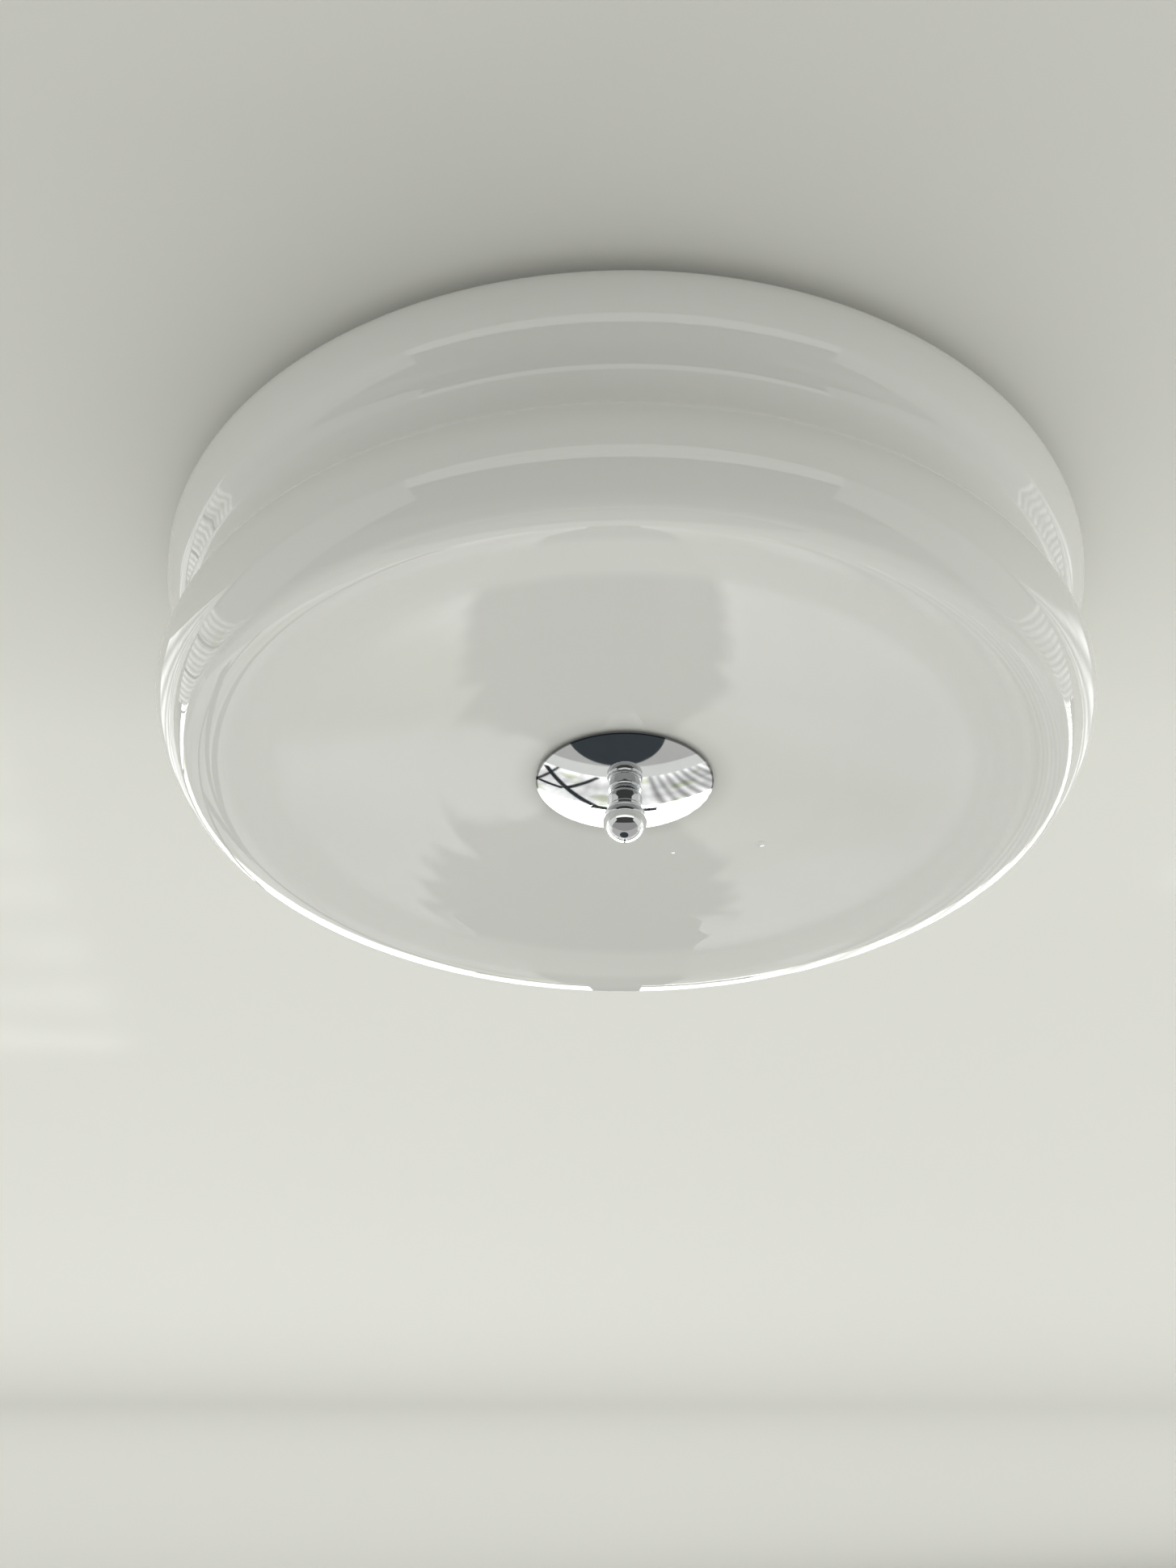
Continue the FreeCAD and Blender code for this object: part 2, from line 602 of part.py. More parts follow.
def chrome_cap():
    """Shallow spun dome with a short upright edge and a hole for the rod."""
    hole = ROD_R + 2 * HOLE_PLAY
    edge = CAP_RIM_Z - CAP_LIP
    inner_sphere = CAP_SPHERE_R - CAP_SHEET
    inner_r = CAP_R - CAP_SHEET
    centre = CAP_APEX_Z + CAP_SPHERE_R

    def inner_z(radius):
        return centre - math.sqrt(inner_sphere ** 2 - radius ** 2)

    def point(radius, height):
        return Vector(radius, 0, height)

    mid = (hole + CAP_R) / 2
    outer = Part.Arc(point(hole, cap_outer_z(hole)), point(mid, cap_outer_z(mid)), point(CAP_R, edge))
    mid = (hole + inner_r) / 2
    inner = Part.Arc(point(inner_r, inner_z(inner_r)), point(mid, inner_z(mid)), point(hole, inner_z(hole)))
    round_r = CAP_SHEET / 2
    top = Part.Arc(point(CAP_R, CAP_RIM_Z - round_r), point(CAP_R - round_r, CAP_RIM_Z),
                   point(inner_r, CAP_RIM_Z - round_r))
    edges = [outer.toShape(), line((CAP_R, edge), (CAP_R, CAP_RIM_Z - round_r)), top.toShape(),
             line((inner_r, CAP_RIM_Z - round_r), (inner_r, inner_z(inner_r))), inner.toShape(),
             line((hole, inner_z(hole)), (hole, cap_outer_z(hole)))]
    return turned_edges(edges)


def cap_gasket():
    """Soft ring between the glass and the inside of the cap."""
    seat = CAP_SHEET + GASKET_SEAT
    inner_top = DISH_Z - dish_drop(CAP_GASKET_OUT) - GASKET_GLASS_GAP
    return turned([(CAP_GASKET_IN, inner_top), (CAP_GASKET_IN, cap_outer_z(CAP_GASKET_IN) + seat),
                   (CAP_GASKET_OUT, cap_outer_z(CAP_GASKET_OUT) + seat), (CAP_GASKET_OUT, inner_top)])


def finial_collar():
    """Turned nut with a rounded top edge, a groove and a bead where the ball begins."""
    bore = ROD_R + FIT
    low = COLLAR_TOP - COLLAR_H
    k = COLLAR_ROUND * (1 - math.sqrt(0.5))
    crown = Part.Arc(Vector(COLLAR_R, 0, COLLAR_TOP - COLLAR_ROUND), Vector(COLLAR_R - k, 0, COLLAR_TOP - k),
                     Vector(COLLAR_R - COLLAR_ROUND, 0, COLLAR_TOP))
    bead_mid = BEAD_Z - COLLAR_BEAD_H / 2
    bulge = Part.Arc(Vector(COLLAR_GROOVE_R, 0, BALL_TOP), Vector(COLLAR_BEAD_R, 0, bead_mid),
                     Vector(COLLAR_GROOVE_R, 0, BEAD_Z))
    edges = [line((bore, BALL_TOP), (COLLAR_GROOVE_R, BALL_TOP)), bulge.toShape(),
             line((COLLAR_GROOVE_R, BEAD_Z), (COLLAR_GROOVE_R, low)),
             line((COLLAR_GROOVE_R, low), (COLLAR_R, low)),
             line((COLLAR_R, low), (COLLAR_R, COLLAR_TOP - COLLAR_ROUND)), crown.toShape(),
             line((COLLAR_R - COLLAR_ROUND, COLLAR_TOP), (bore, COLLAR_TOP)),
             line((bore, COLLAR_TOP), (bore, BALL_TOP))]
    return turned_edges(edges)


def finial_ball():
    """Ball cut flat under the bead, with a blind hole for the rod's end."""
    ball = Part.makeSphere(BALL_R, Vector(0, 0, BALL_Z))
    ball = ball.cut(rod_between(BALL_R + PAST, BALL_TOP, BALL_Z + 2 * BALL_R))
    return ball.cut(rod_between(ROD_R + FIT, ROD_BOTTOM - BLIND_END, BALL_TOP + PAST))


def bottom_parts():
    """Everything at the bottom of the bowl, in the order it comes off."""
    save("glass_bush", glass_bush())
    save("cap_gasket", cap_gasket())
    save("chrome_cap", chrome_cap())
    save("finial_collar", finial_collar())
    save("finial_ball", finial_ball())


def waves(radius, start, length, depth, outwards):
    """Outline points of a rolled thread: ridges one pitch apart, between start and its end."""
    count = int(length / THREAD_PITCH)
    margin = (length - count * THREAD_PITCH) / 2
    points = [(radius, start)]
    for k in range(count):
        base = start + margin + k * THREAD_PITCH
        points.append((radius, base + THREAD_PITCH * 0.15))
        points.append((radius + outwards * depth, base + THREAD_PITCH * 0.38))
        points.append((radius + outwards * depth, base + THREAD_PITCH * 0.62))
        points.append((radius, base + THREAD_PITCH * 0.85))
    points.append((radius, start + length))
    return points


def rolled_tube(outer, wall, start, length, depth):
    """Thin tube with the same rolled ridges on its outside and inside."""
    face = waves(outer - depth, start, length, depth, 1)
    back = [(r - wall, z) for r, z in reversed(face)]
    return turned(face + back)


def holder_body():
    """Ceramic holder: a stepped cup with a flared mouth, turned about its own axis."""
    bore = SHELL_R + SHELL_SEAT
    rear = HOLDER_BACK
    mouth = HOLDER_MOUTH
    barrel = HOLDER_R - HOLDER_RIM_UP
    return turned([
        (0, rear), (HOLDER_NECK_R - HOLDER_EDGE, rear), (HOLDER_NECK_R, rear + HOLDER_EDGE),
        (HOLDER_NECK_R, SHELL_FLOOR), (barrel, SHELL_FLOOR + HOLDER_STEP),
        (barrel, mouth - HOLDER_RIM - HOLDER_RIM_UP), (HOLDER_R, mouth - HOLDER_RIM),
        (HOLDER_R, mouth - HOLDER_RIM_UP), (HOLDER_R - HOLDER_RIM_UP, mouth),
        (bore + HOLDER_RIM_UP, mouth), (bore, mouth - HOLDER_RIM_UP), (bore, SHELL_FLOOR),
        (0, SHELL_FLOOR)])


def holder_contact():
    """Springy brass tongue on the holder's floor, lifted in the middle."""
    half = SHELL_R - CONTACT_SIDE
    low = SHELL_FLOOR
    lift = low + CONTACT_LIFT
    face = [(-half, low), (-half * 0.5, low), (-TIP_R * 0.7, lift), (TIP_R * 0.7, lift),
            (half * 0.5, low), (half, low)]
    back = [(y, z + CONTACT_T) for y, z in reversed(face)]
    points = [Vector(-CONTACT_W / 2, y, z) for y, z in face + back]
    tongue = Part.Face(Part.makePolygon(points + points[:1]))
    return tongue.extrude(Vector(CONTACT_W, 0, 0))


def bracket():
    """Angle strip: its foot lies on the pan's face, its leg stands behind the holder."""
    rear = HOLDER_BACK - BRACKET_T
    low = LAMP_Z - BRACKET_BELOW_AXIS
    outline = [(rear, PAN_FACE), (rear + BRACKET_FOOT, PAN_FACE),
               (rear + BRACKET_FOOT, PAN_FACE - BRACKET_T), (HOLDER_BACK, PAN_FACE - BRACKET_T),
               (HOLDER_BACK, low), (rear, low)]
    points = [Vector(x, -BRACKET_W / 2, z) for x, z in outline]
    strip = Part.Face(Part.makePolygon(points + points[:1])).extrude(Vector(0, BRACKET_W, 0))
    bend = [e for e in strip.Edges if abs(e.CenterOfMass.x - rear) < 0.01
            and abs(e.CenterOfMass.z - PAN_FACE) < 0.01]
    strip = strip.makeFillet(BRACKET_BEND_R, bend)
    for r in foot_screw_places():
        strip = strip.cut(rod_between(M4_R + HOLE_PLAY, PAN_FACE - 2 * BRACKET_T, PAN_FACE + PAST, r))
    for dz in (-HOLDER_SCREW_Z, HOLDER_SCREW_Z):
        strip = strip.cut(Part.makeCylinder(M3_R + HOLE_PLAY, BRACKET_T + 2 * PAST,
                                            Vector(rear - PAST, 0, LAMP_Z + dz), Vector(1, 0, 0)))
    return strip


def holder_screw(dz):
    """Screw through the bracket's leg into the holder's back."""
    item = screw(M3_R, M3_HEAD_R, M3_HEAD_H, HOLDER_SCREW_LENGTH)
    item.rotate(Vector(0, 0, 0), Vector(0, 1, 0), -90)
    item.translate(Vector(HOLDER_BACK - BRACKET_T, 0, LAMP_Z + dz))
    return item


def holders():
    """The holders with their brackets, shells, contacts and screws."""
    body = outward(holder_body())
    for dz in (-HOLDER_SCREW_Z, HOLDER_SCREW_Z):
        depth = HOLDER_SCREW_LENGTH - BRACKET_T + BLIND_END
        hole = Part.makeCylinder(M3_R + FIT, depth, Vector(HOLDER_BACK, 0, LAMP_Z + dz), Vector(1, 0, 0))
        body = body.cut(hole)
    shell = outward(rolled_tube(SHELL_R, SHELL_T, SHELL_FLOOR + SHELL_START, SHELL_LENGTH, SHELL_WAVE))
    contact = outward(holder_contact())
    screws, foot_screws, foot_nuts = [], [], []
    head_z = PAN_FACE - BRACKET_T
    for k in range(HOLDERS):
        a = holder_angle(k)
        name = "holder_" + str(k + 1)
        save(name + "_bracket", spun(bracket(), a))
        save(name + "_body", spun(body, a))
        save(name + "_shell", spun(shell, a))
        save(name + "_contact", spun(contact, a))
        screws += [spun(holder_screw(dz), a) for dz in (-HOLDER_SCREW_Z, HOLDER_SCREW_Z)]
        for r in foot_screw_places():
            item = flipped(screw(M4_R, M4_HEAD_R, M4_HEAD_H, FOOT_SCREW_LENGTH))
            foot_screws.append(spun(moved(item, r, 0, head_z), a))
            foot_nuts.append(spun(nut(M4_NUT_AF, M4_R + FIT, PAN_BACK, PAN_BACK + M4_NUT_H, r), a))
    save("holder_screws", *screws)
    save("bracket_screws", *foot_screws)
    save("bracket_nuts", *foot_nuts)


TIP_END = SHELL_FLOOR + CONTACT_LIFT + CONTACT_T + CONTACT_PLAY
CAP_START = TIP_END + TIP_LENGTH + INSULATOR_LENGTH
CAP_END = CAP_START + BULB_CAP_LENGTH
HOUSING_START = max(CAP_END, HOLDER_MOUTH + MOUTH_PLAY)
HOUSING_END = HOUSING_START + HOUSING_LENGTH
GLOBE_CENTRE = HOUSING_END + math.sqrt(GLOBE_R ** 2 - HOUSING_MOUTH_R ** 2)


def bulb_cap():
    """Rolled screw cap: a thin tube open at both ends."""
    return rolled_tube(BULB_CAP_R, BULB_CAP_T, CAP_START, HOUSING_START - CAP_START, SHELL_WAVE)


def bulb_insulator():
    """Black plug between the screw cap and the tip, sloping down to the tip."""
    wide = BULB_CAP_R - SHELL_WAVE - BULB_CAP_T
    low = TIP_END + TIP_LENGTH
    return turned([(0, low), (TIP_R + BULB_CAP_T, low), (wide, CAP_START - BULB_CAP_T),
                   (wide, CAP_START + INSULATOR_INTO_CAP), (0, CAP_START + INSULATOR_INTO_CAP)])


def bulb_tip():
    low = TIP_END
    top = low + TIP_LENGTH
    bevel = TIP_LENGTH / 2
    return turned([(0, low), (TIP_R - bevel, low), (TIP_R, low + bevel), (TIP_R, top), (0, top)])


def bulb_housing():
    """Hollow plastic body: a plug inside the screw cap, a skirt, then a cone to the globe."""
    start = HOUSING_START
    plug = BULB_CAP_R - SHELL_WAVE - BULB_CAP_T
    skirt = HOUSING_SKIRT_R
    wide = HOUSING_MOUTH_R
    t = HOUSING_T
    return turned([
        (plug - t, start - HOUSING_PLUG), (plug, start - HOUSING_PLUG), (plug, start), (skirt, start),
        (skirt, start + HOUSING_SKIRT_H), (wide, HOUSING_END - HOUSING_RIM_H), (wide, HOUSING_END),
        (wide - t, HOUSING_END), (wide - t, HOUSING_END - HOUSING_RIM_H),
        (skirt - t, start + HOUSING_SKIRT_H)])


def bulb_board():
    """Round circuit board with a ring of small light chips, just inside the globe."""
    low = HOUSING_END - HOUSING_RIM_H
    top = low + BOARD_T
    board = rod_between(BOARD_R, low, top)
    for k in range(LEDS):
        a = math.radians(360.0 * k / LEDS)
        corner = Vector(LED_RING_R * math.cos(a) - LED_SIZE / 2, LED_RING_R * math.sin(a) - LED_SIZE / 2, top)
        board = board.fuse(Part.makeBox(LED_SIZE, LED_SIZE, LED_T, corner))
    return board.removeSplitter()


def bulb_globe():
    """Opal plastic globe, open at the housing."""
    globe = Part.makeSphere(GLOBE_R, Vector(0, 0, GLOBE_CENTRE))
    globe = globe.cut(Part.makeSphere(GLOBE_R - GLOBE_T, Vector(0, 0, GLOBE_CENTRE)))
    return globe.cut(rod_between(GLOBE_R, GLOBE_CENTRE - GLOBE_R - PAST, HOUSING_END))


def bulbs():
    pieces = {"cap": bulb_cap(), "insulator": bulb_insulator(), "tip": bulb_tip(),
              "housing": bulb_housing(), "board": bulb_board(), "globe": bulb_globe()}
    for k in range(HOLDERS):
        for name, shape in pieces.items():
            save("bulb_" + str(k + 1) + "_" + name, spun(outward(shape), holder_angle(k)))


def tube(points, radius):
    """A lead: straight runs joined by tangent arcs, as large as the runs allow."""
    points = [Vector(*p) for p in points]
    edges = []
    at = points[0]
    radii = []
    for before, corner, after in zip(points, points[1:], points[2:]):
        one = (before - corner).normalize()
        two = (after - corner).normalize()
        half_turn = (math.pi - one.getAngle(two)) / 2
        cut = 0.45 * min((before - corner).Length, (after - corner).Length)
        bend = cut / math.tan(half_turn)
        radii.append(round(bend, 1))
        first = corner + one * cut
        last = corner + two * cut
        inside = (one + two).normalize()
        middle = corner + inside * (bend / math.cos(half_turn) - bend)
        edges.append(Part.LineSegment(at, first).toShape())
        edges.append(Part.Arc(first, middle, last).toShape())
        at = last
    edges.append(Part.LineSegment(at, points[-1]).toShape())
    path = Part.Wire(edges)
    ring_wire = Part.Wire(Part.makeCircle(radius, points[0], points[1] - points[0]))
    solid = path.makePipeShell([ring_wire], True, False)
    expected = math.pi * radius ** 2 * path.Length
    print("  lead", "length", round(path.Length, 1), "bends", radii, "volume ratio",
          round(solid.Volume / expected, 4))
    return solid


def holder_point(k, out, side, z):
    """A point given by its distance out along holder k and to its side."""
    u = normal(holder_angle(k))
    return (out * u[0] - side * u[1], out * u[1] + side * u[0], z)


def lead_start(k, side, layer):
    """From the holder's back up through the grommet to a layer, on the side of its sign."""
    back_z = LAMP_Z + HOLDER_LEAD_UP
    close = side * LEAD_SPACING / 2
    wide = side * HOLDER_LEAD_SIDE
    return [holder_point(k, HOLDER_BACK, wide, back_z),
            holder_point(k, GROMMET_AT + LEAD_R, wide, back_z),
            holder_point(k, GROMMET_AT, close, back_z + LEAD_RISE),
            holder_point(k, GROMMET_AT, close, layer)]


def port(block_side, number):
    """Where a lead enters a terminal block; number runs outwards from the middle."""
    x = block_side * (TERMINAL_X + (number - 1) * TERMINAL_PITCH)
    return x, TERMINAL_Y - TERMINAL_D / 2


def to_port(points, side, number):
    """A lead through the points and straight into a port of the block on that side."""
    x, y = port(side, number)
    low = PAN_BACK + LEAD_LOW
    return tube(points + [(x, y - PORT_RUN, low), (x, y, low)], LEAD_R)


def leads():
    """Live leads go to the left block and neutral leads to the right one."""
    low = PAN_BACK + LEAD_LOW
    high = PAN_BACK + LEAD_HIGH
    for name, side, layer, own, far in (("live_leads", -1, high, 1, 2), ("neutral_leads", 1, low, 2, 1)):
        near_way = [(side * x, y, low) for x, y in NEAR_WAY]
        own_way = [(side * x, y, low) for x, y in OWN_WAY]
        far_way = [(side * x, FAR_WAY_Y[side], layer) for x in FAR_WAY_X]
        far_way.append((side * FAR_WAY_END[0], FAR_WAY_END[1], layer))
        save(name, to_port(lead_start(0, -side, low) + near_way, side, 0),
             to_port(lead_start(own, side, low) + own_way, side, 1),
             to_port(lead_start(far, side, layer) + far_way, side, 2))


def terminal(side):
    """Four-way block with a well over each clamp, a port under it and a fixing lug behind."""
    x0 = side * (TERMINAL_X + TERMINAL_PITCH / 2) - TERMINAL_W / 2
    y0 = TERMINAL_Y - TERMINAL_D / 2
    block = Part.makeBox(TERMINAL_W, TERMINAL_D, TERMINAL_H, Vector(x0, y0, PAN_BACK))
    lug_x = side * TERMINAL_X
    lug = Part.makeBox(2 * TERMINAL_FOOT, TERMINAL_FOOT, TERMINAL_LUG_H,
                       Vector(lug_x - TERMINAL_FOOT, y0 + TERMINAL_D, PAN_BACK))
    block = block.fuse(lug).removeSplitter()
    for x, y in well_places(side):
        well = rod_between(TERMINAL_WELL_R, PAN_BACK + TERMINAL_H - TERMINAL_SCREW_H - GRUB_SINK, 0, x, y)
        block = block.cut(well)
    fixing = rod_between(M3_R + FIT, PAN_BACK - PAST, 0, lug_x, y0 + TERMINAL_D + TERMINAL_FOOT / 2)
    return block.cut(fixing)


def well_places(side):
    return [(side * (TERMINAL_X + (n - 1) * TERMINAL_PITCH), TERMINAL_Y) for n in range(4)]


def terminals():
    save("live_terminal", terminal(-1))
    save("neutral_terminal", terminal(1))
    top = PAN_BACK + TERMINAL_H - GRUB_SINK
    items = []
    for side in (-1, 1):
        for x, y in well_places(side):
            grub = rod_between(TERMINAL_SCREW_R, top - TERMINAL_SCREW_H, top, x, y)
            slit = TERMINAL_SCREW_R / 2.5
            cut = Part.makeBox(2 * TERMINAL_SCREW_R, slit, slit,
                               Vector(x - TERMINAL_SCREW_R, y - slit / 2, top - slit))
            items.append(grub.cut(cut))
    save("terminal_screws", *items)
    fixing = screw(M3_R, FIXING_HEAD_R, M3_HEAD_H, TERMINAL_LUG_H + SHEET + FIXING_PAST)
    save("terminal_fixings", *[moved(fixing, x, y, PAN_BACK + TERMINAL_LUG_H) for x, y in fixing_places()])


def grommets():
    """Soft grommets that guard the leads where they pass the pan."""
    body = ring(GROMMET_BORE_R, GROMMET_BODY_R, PAN_FACE - 0.1, PAN_BACK + 0.1)
    below = ring(GROMMET_BORE_R, GROMMET_FLANGE_R, PAN_FACE - GROMMET_FLANGE_T, PAN_FACE)
    above = ring(GROMMET_BORE_R, GROMMET_FLANGE_R, PAN_BACK, PAN_BACK + GROMMET_FLANGE_T)
    one = body.fuse(below).fuse(above).removeSplitter()
    save("lead_grommets", *[spun(moved(one, GROMMET_AT, 0, 0), holder_angle(k)) for k in range(HOLDERS)])


def lug(x, y, z, heading):
    """Ring tag with its tail pointing along the heading angle."""
    eye = ring(M4_R + HOLE_PLAY, LUG_R, 0, LUG_T)
    tail = Part.makeBox(LUG_TAIL, LUG_TAIL_W, LUG_T, Vector(M4_R + LUG_NECK, -LUG_TAIL_W / 2, 0))
    tag = eye.fuse(tail).removeSplitter()
    tag.rotate(Vector(0, 0, 0), Vector(0, 0, 1), heading)
    tag.translate(Vector(x, y, z))
    return tag


def earth():
    """Earth lead between a screw on the pan and a screw on the crossbar."""
    x, y = EARTH_PAN
    under_bar = -BAR_DROP - BAR_T
    tag_z = under_bar - LUG_T
    save("earth_lugs", lug(x, y, PAN_BACK, 0.0), lug(EARTH_BAR_X, 0, tag_z, -90.0))
    pan_screw = screw(M4_R, M4_HEAD_R, M4_HEAD_H, LUG_T + SHEET + EARTH_SCREW_PAST)
    bar_screw = flipped(screw(M4_R, M4_HEAD_R, M4_HEAD_H, LUG_T + BAR_T + EARTH_SCREW_PAST))
    save("earth_screws", moved(pan_screw, x, y, PAN_BACK + LUG_T), moved(bar_screw, EARTH_BAR_X, 0, tag_z))
    tail = M4_R + LUG_NECK + LUG_TAIL
    pan_lead_z = PAN_BACK + LEAD_R
    bar_lead_z = under_bar - LEAD_R
    route = [(x + tail, y, pan_lead_z), (x + tail + EARTH_RUN, y, pan_lead_z),
             (x + tail + EARTH_BEND[0], y + EARTH_BEND[1], (pan_lead_z + bar_lead_z) / 2),
             (EARTH_BAR_X, -tail - EARTH_RUN, bar_lead_z), (EARTH_BAR_X, -tail, bar_lead_z)]
    save("earth_lead", tube(route, LEAD_R))


def main():
    save("glass_shade", glass_shade())
    save("ceiling_pan", ceiling_pan())
    save("rim_gasket", ring(RIM_GASKET_IN, RIM_GASKET_OUT, SHADE_TOP, -SHEET))
    hanging_parts()
    rod_parts()
    bottom_parts()
    holders()
    bulbs()
    grommets()
    leads()
    terminals()
    earth()


main()
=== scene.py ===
# %% [markdown]
# # Flush mount ceiling light
# This lesson dresses a finished CAD model of a ceiling light: a two-tier bowl of white opal
# glass, held against the ceiling by a domed chrome cap and a ball finial on a threaded rod.
# The CAD model is loaded first and is never moved. Everything made here fits around it.

import json
import math

import bpy
from mathutils import Matrix, Vector


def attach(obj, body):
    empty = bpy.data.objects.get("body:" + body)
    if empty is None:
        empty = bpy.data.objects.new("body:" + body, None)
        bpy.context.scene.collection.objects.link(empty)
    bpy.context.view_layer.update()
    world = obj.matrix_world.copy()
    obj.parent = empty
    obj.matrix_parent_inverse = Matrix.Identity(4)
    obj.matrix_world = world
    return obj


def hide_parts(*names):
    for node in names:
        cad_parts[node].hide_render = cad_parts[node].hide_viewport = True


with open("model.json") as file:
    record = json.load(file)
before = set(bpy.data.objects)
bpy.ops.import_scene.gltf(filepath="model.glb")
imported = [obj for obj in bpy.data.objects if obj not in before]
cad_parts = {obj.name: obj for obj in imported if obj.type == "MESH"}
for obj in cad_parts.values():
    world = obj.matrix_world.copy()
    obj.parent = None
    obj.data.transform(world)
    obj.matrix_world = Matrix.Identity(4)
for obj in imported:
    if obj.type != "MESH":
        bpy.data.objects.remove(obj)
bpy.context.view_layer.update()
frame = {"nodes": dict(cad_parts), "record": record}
nodes = frame["nodes"]
MM, MERGE_DISTANCE, SHORTEST_STEP = 0.001, 2e-6, 1e-7

# %% [markdown]
# ## The camera
# The light is seen from below, looking up and across the room. The camera's place, tilt and
# focal length were found by fitting the outlines of both tiers and of the cap. Its axes are
# written out as vectors, which are easier to check than Euler angles.

# %% Camera
PITCH, TURN, ROLL = math.radians(32.843), math.radians(-1.15), math.radians(0.467)
CAMERA_PLACE = Vector((0.0, -0.7799, -0.6121))
FOCAL_PIXELS, LONG_SIDE_PIXELS, SENSOR_MM = 2700.0, 1940.0, 36.0

ahead = Vector((math.sin(TURN) * math.cos(PITCH), math.cos(TURN) * math.cos(PITCH), math.sin(PITCH)))
level = Vector((math.cos(TURN), -math.sin(TURN), 0.0))
upright = level.cross(ahead)
right = level * math.cos(ROLL) + upright * math.sin(ROLL)
up = upright * math.cos(ROLL) - level * math.sin(ROLL)
bpy.ops.object.camera_add()
camera = bpy.context.object
camera.matrix_world = Matrix.Translation(CAMERA_PLACE) @ Matrix((right, up, -ahead)).transposed().to_4x4()
camera.data.sensor_width = SENSOR_MM
camera.data.lens = SENSOR_MM * FOCAL_PIXELS / LONG_SIDE_PIXELS
bpy.context.scene.camera = camera
bpy.context.scene.view_settings.view_transform = "Standard"
print("camera lens in mm:", round(camera.data.lens, 1))

# %% [markdown]
# ## Turned shapes
# Bowl, cap, collar and ball are all turned about one axis. By hand, half of the outline is
# drawn point by point beside the axis with Extrude, then the Spin tool takes it round once.
# The CAD mesh has flat facets, which a mirror finish would show, so these pieces are spun
# again with many more steps. The bowl's outline is a chain of arcs that meet without a
# corner, each told by its radius and by where its outward direction ends.

# %% Tangent arcs and spinning
def chain(start, heading, stretches):
    """Arcs as (centre, radius, first angle, last angle); a minus radius makes a hollow."""
    arcs = []
    r, z = start
    for radius, end in stretches:
        a = math.radians(heading)
        centre = (r - radius * math.cos(a), z - radius * math.sin(a))
        arcs.append((centre, radius, heading, end))
        b = math.radians(end)
        r, z = centre[0] + radius * math.cos(b), centre[1] + radius * math.sin(b)
        heading = end
    return arcs


def evenly(first, last, steps):
    return [first + (last - first) * k / steps for k in range(steps + 1)]


def arc_points(centre, radius, first, last, steps):
    """Evenly spaced points on an arc between two angles in degrees."""
    angles = [math.radians(angle) for angle in evenly(first, last, steps)]
    return [(centre[0] + radius * math.cos(a), centre[1] + radius * math.sin(a)) for a in angles]


def along(arc, inset=0.0, every=1.2):
    """Points on an arc of a chain, about a given length apart, moved inwards by the inset."""
    centre, radius, first, last = arc
    count = max(3, int(abs(radius * math.radians(last - first)) / every))
    return arc_points(centre, radius - inset, first, last, count)


def drawn(name, outline):
    """A line through points of (radius, height) in millimetres, left in edit mode."""
    bpy.ops.mesh.primitive_plane_add(size=MM)
    piece = bpy.context.object
    piece.name = piece.data.name = name
    bpy.ops.object.mode_set(mode="EDIT")
    bpy.ops.mesh.select_all(action="SELECT")
    bpy.ops.mesh.merge(type="CENTER")
    bpy.ops.transform.translate(value=(outline[0][0] * MM, 0.0, outline[0][1] * MM))
    for (r0, z0), (r1, z1) in zip(outline, outline[1:]):
        shift = ((r1 - r0) * MM, 0.0, (z1 - z0) * MM)
        if math.hypot(shift[0], shift[2]) > SHORTEST_STEP:
            bpy.ops.mesh.extrude_vertices_move(TRANSFORM_OT_translate={"value": shift})
    bpy.ops.mesh.select_all(action="SELECT")
    return piece


def closed_up(piece):
    """Turns all faces outwards and leaves edit mode."""
    bpy.ops.mesh.select_all(action="SELECT")
    bpy.ops.mesh.normals_make_consistent(inside=False)
    bpy.ops.object.mode_set(mode="OBJECT")
    print(piece.name, "faces:", len(piece.data.polygons))


def turned(name, outline, steps=128, smooth=40.0):
    """Draws a closed outline and spins it about Z."""
    piece = drawn(name, outline)
    bpy.ops.mesh.spin(steps=steps, angle=2 * math.pi, center=(0, 0, 0), axis=(0, 0, 1))
    bpy.ops.mesh.select_all(action="SELECT")
    bpy.ops.mesh.remove_doubles(threshold=MERGE_DISTANCE)
    bpy.ops.mesh.delete_loose()
    closed_up(piece)
    bpy.ops.object.shade_smooth_by_angle(angle=math.radians(smooth))
    return piece


def only(piece):
    """Makes a piece the one that is selected and active."""
    bpy.ops.object.select_all(action="DESELECT")
    piece.select_set(True)
    bpy.context.view_layer.objects.active = piece


def applied(piece, kind, **settings):
    """Adds a modifier to the active piece, sets it and applies it."""
    bpy.ops.object.modifier_add(type=kind)
    modifier = piece.modifiers[-1]
    for key, value in settings.items():
        setattr(modifier, key, value)
    bpy.ops.object.modifier_apply(modifier=modifier.name)


def wear(piece, node_name, body, slot_name):
    """The piece stands for a CAD node, rides with its body and takes its finish."""
    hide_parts(node_name)
    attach(piece, body)
    piece.data.materials.clear()
    piece.data.materials.append(FINISHES[slot_name])


# %% [markdown]
# ## Material helpers
# Every finish is a small node tree: a colour and a roughness that vary a little, and a bump
# for what is too small to model. All read Object coordinates, which are metres here, so a
# noise of scale 400 has grains a few millimetres wide. A tree is written as a chain: each
# helper puts a node behind an output it is given, and hands on its own output.

# %% Node helpers
def new_material(name, **sockets):
    """A material with its Principled shader set; values that don't vary go on its sockets."""
    material = bpy.data.materials.new(name)
    material.use_nodes = True
    for key, value in sockets.items():
        shader_of(material).inputs[key.replace("_", " ")].default_value = value
    return material


def shader_of(material):
    return material.node_tree.nodes["Principled BSDF"]


def join(source, node, entry):
    """Links an output to an entry of a node."""
    source.id_data.links.new(source, node.inputs[entry])


